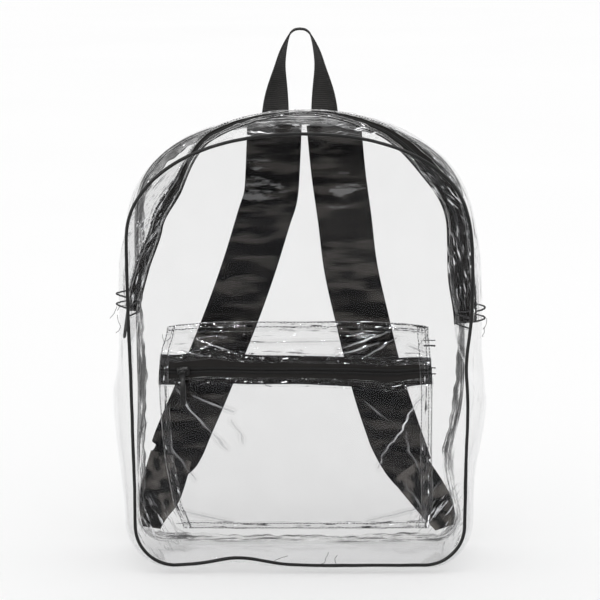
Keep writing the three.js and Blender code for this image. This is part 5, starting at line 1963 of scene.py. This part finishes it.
def axes_of(pin_way, out_way):
    """The slider's own X, Y and Z: along its pin, into the bag, and square to both."""
    inward = -out_way
    return np.stack([pin_way, inward, np.cross(pin_way, inward)])


print("slider and pull makers ready")


# %% [markdown]
# On the pocket the slider stands at the zip's left end. Its frame follows from the pocket's surface:
# along the teeth, out of the pocket, and square to both.

# %% The pocket zip's slider
slider_across = 24.0 / POCKET_WIDTH
half_slider = SLIDER_LENGTH / 2 / POCKET_WIDTH
before = pocket_point(slider_across - half_slider, POCKET_ZIP_HEIGHT)
after = pocket_point(slider_across + half_slider, POCKET_ZIP_HEIGHT)
teeth_way = unit(after - before)
rising_way = pocket_point(slider_across, zip_top) - pocket_point(slider_across, zip_bottom)
pocket_out = unit(np.cross(teeth_way, rising_way))
seat = pocket_point(slider_across, POCKET_ZIP_HEIGHT) + pocket_out * SLIDER_SEAT
pocket_frame = (seat, axes_of(teeth_way, pocket_out))
make_slider("pocket_zip", pocket_frame, SLIDER_LENGTH, SLIDER_WIDTH, True)
pin_seat = seat + pocket_out * PIN_OUT
make_pull("pocket_zip", (pin_seat, pocket_frame[1]), "pocket_pull")


print("pocket slider at", np.round(seat, 1).tolist())


# %% [markdown]
# On the arch zip the slider stands at the left end too. The joint already says where the pull turns,
# so the slider is slid along the tape until its pin lies there. Otherwise the eye would cut into the
# plate as it swings.

# %% The arch zip's slider
def tape_frame(share):
    """The tape's middle at a share, the direction across it and the direction out of it."""
    centre = gusset_point(share, TAPE_MIDDLE)
    across = unit(gusset_point(share, TAPE_TO) - gusset_point(share, TAPE_FROM))
    step = 4 / LOOP_LENGTH
    along = gusset_point(share + step, TAPE_MIDDLE) - gusset_point(share - step, TAPE_MIDDLE)
    up = -unit(np.cross(along, across))
    outward = outward_at(share)
    return centre, across, up * np.sign(up[0] * outward[0] + up[2] * outward[1])


def joint_place(joint_name):
    """Where a joint turns, in millimetres."""
    joint = next(joint for joint in frame["joints"] if joint["name"] == joint_name)
    return np.array(joint["pos_m"]) / MM


def nearest_share(pin):
    """The share at which a slider's pin comes nearest to a place: 241 places are tried over the last
    24 mm of the zip."""
    shares = ZIP_LEFT - np.linspace(-12, 12, 241) / LOOP_LENGTH
    misses = []
    for share in shares:
        centre, _, up = tape_frame(share)
        misses.append(np.linalg.norm(centre + up * (SLIDER_SEAT + PIN_OUT) - pin))
    print("pin to joint", round(float(min(misses)), 2), "mm")
    return shares[int(np.argmin(misses))]


main_pin = joint_place("main_pull_swing")
slider_share = nearest_share(main_pin)
centre, across_way, up_way = tape_frame(slider_share)
main_seat = main_pin - up_way * PIN_OUT
below = (gusset_point(slider_share + PULL_LENGTH / LOOP_LENGTH, TAPE_MIDDLE) - main_seat) @ up_way
lean = max(math.atan2(below + SHEET + PULL_THICK - PIN_OUT, PULL_LENGTH), 0.0)
main_axes = axes_of(-across_way, up_way)
make_slider("main_zip", (main_seat, main_axes), SLIDER_WIDTH, SLIDER_LENGTH, False)
tilt = np.array([[1, 0, 0], [0, math.cos(lean), -math.sin(lean)], [0, math.sin(lean), math.cos(lean)]])
make_pull("main_zip", (main_pin, tilt @ main_axes), "main_pull")
for node, piece in (("pocket_zip_pull", "pocket_zip_pull_tab"), ("main_zip_pull", "main_zip_pull_tab")):
    box = np.array(bpy.data.objects[piece].bound_box)
    print(node, "look", np.round([box.min(0) * 1000, box.max(0) * 1000], 1).tolist())

# %% [markdown]
# The floor is a large pale sheet that runs on past the picture's top edge, and the world behind it
# is white where it is seen. What the vinyl mirrors is another matter: clear sheet shows only by its
# reflections, so the world that it reflects has darker bands and bright soft boxes.

# %% Floor
FLOOR_SIDE = 400.0


def floor_finish():
    """Pale card with hardly visible clouds."""
    finish = Finish("pale floor", Roughness=0.9)
    finish.set(Base_Color=finish.blend(finish.noise(0.7, 2.0), grey(0.93), grey(0.96)))
    return finish.material


half = FLOOR_SIDE / 2 / MM
floor_corners = [(-half, -half, -0.1), (half, -half, -0.1), (half, half, -0.1), (-half, half, -0.1)]
floor = make_object("floor", floor_corners, [(0, 1, 2, 3)])
floor.data.materials.append(floor_finish())

print("floor", FLOOR_SIDE, "m wide")


# %% [markdown]
# The camera and diffuse light see a plain white world. Mirrored light sees white too, except behind
# the camera, where a real studio is dark: without it the black goods would be veiled in white.

# %% The world
world = bpy.data.worlds.new("studio")
bpy.context.scene.world = world
world.use_nodes = True
tree = world.node_tree
tree.nodes.clear()


def world_node(kind, links=None, **settings):
    """A node of the world: its settings by name, and its linked or plain inputs by name or number."""
    made = tree.nodes.new(kind)
    for key, value in settings.items():
        setattr(made, key, value)
    for key, value in (links or {}).items():
        if isinstance(value, bpy.types.NodeSocket):
            tree.links.new(value, made.inputs[key])
        else:
            made.inputs[key].default_value = value
    return made


way = world_node("ShaderNodeTexCoord")
apart = world_node("ShaderNodeSeparateXYZ", {0: way.outputs["Generated"]})
behind = world_node(
    "ShaderNodeMapRange",
    {"Value": apart.outputs[1], "From Min": -0.8, "From Max": -0.35, "To Min": 0.03, "To Max": 1.0},
    interpolation_type="SMOOTHSTEP",
)
path = world_node("ShaderNodeLightPath")
camera_or_diffuse = {0: path.outputs["Is Camera Ray"], 1: path.outputs["Is Diffuse Ray"]}
plain = world_node("ShaderNodeMath", camera_or_diffuse, operation="MAXIMUM")
seen = world_node("ShaderNodeBackground", {"Color": (1, 1, 1, 1), "Strength": 1.08})
mirrored = world_node("ShaderNodeBackground", {"Color": (1, 1, 1, 1), "Strength": behind.outputs[0]})
both = {0: plain.outputs[0], 1: mirrored.outputs[0], 2: seen.outputs[0]}
chosen = world_node("ShaderNodeMixShader", both)
world_node("ShaderNodeOutputWorld", {"Surface": chosen.outputs[0]})


print("world of", len(tree.nodes), "nodes")


# %% [markdown]
# Long thin lights give vinyl and piping their bright lines. They shine on the bag alone: light linking
# leaves out the floor, which would burn out.

# %% Soft boxes
def soft_box(name, place, aim, width, height, power):
    """A rectangular area light in metres, turned to face a point."""
    data = bpy.data.lights.new(name, "AREA")
    data.shape = "RECTANGLE"
    data.size, data.size_y, data.energy = width, height, power
    light = bpy.data.objects.new(name, data)
    light.location = place
    way = np.array(aim) - np.array(place)
    yaw = math.atan2(way[0], -way[1])
    pitch = math.atan2(math.hypot(way[0], way[1]), -way[2])
    light.rotation_euler = (pitch, 0, yaw + math.pi)
    bpy.context.scene.collection.objects.link(light)
    return light


AIM = (0.0, 0.0, 0.22)
soft_box("left strip", (-1.5, -1.7, 1.1), AIM, 0.08, 1.6, 28)
soft_box("right strip", (1.6, -1.5, 0.9), AIM, 0.08, 1.4, 22)
soft_box("upper left box", (-0.8, -1.9, 2.0), AIM, 0.7, 0.1, 22)
soft_box("upper right box", (1.0, -1.2, 2.2), AIM, 0.5, 0.12, 20)
soft_box("top box", (0.0, 0.5, 2.3), AIM, 1.2, 0.2, 12)
soft_box("low left box", (-2.2, -0.6, 0.5), AIM, 0.1, 0.6, 8)
soft_box("near left box", (-0.6, -2.5, 1.0), AIM, 0.1, 0.5, 6)
soft_box("near high box", (0.4, -2.3, 1.5), AIM, 0.35, 0.08, 6)
lit = bpy.data.collections.new("lit by the boxes")
for thing in bpy.context.scene.objects:
    if thing.type == "MESH" and thing is not floor:
        lit.objects.link(thing)
for light in [thing for thing in bpy.context.scene.objects if thing.type == "LIGHT"]:
    light.light_linking.receiver_collection = lit
bpy.context.scene.view_settings.view_transform = "Standard"
bpy.context.scene.cycles.transparent_max_bounces = 40
print("stage and lights set")
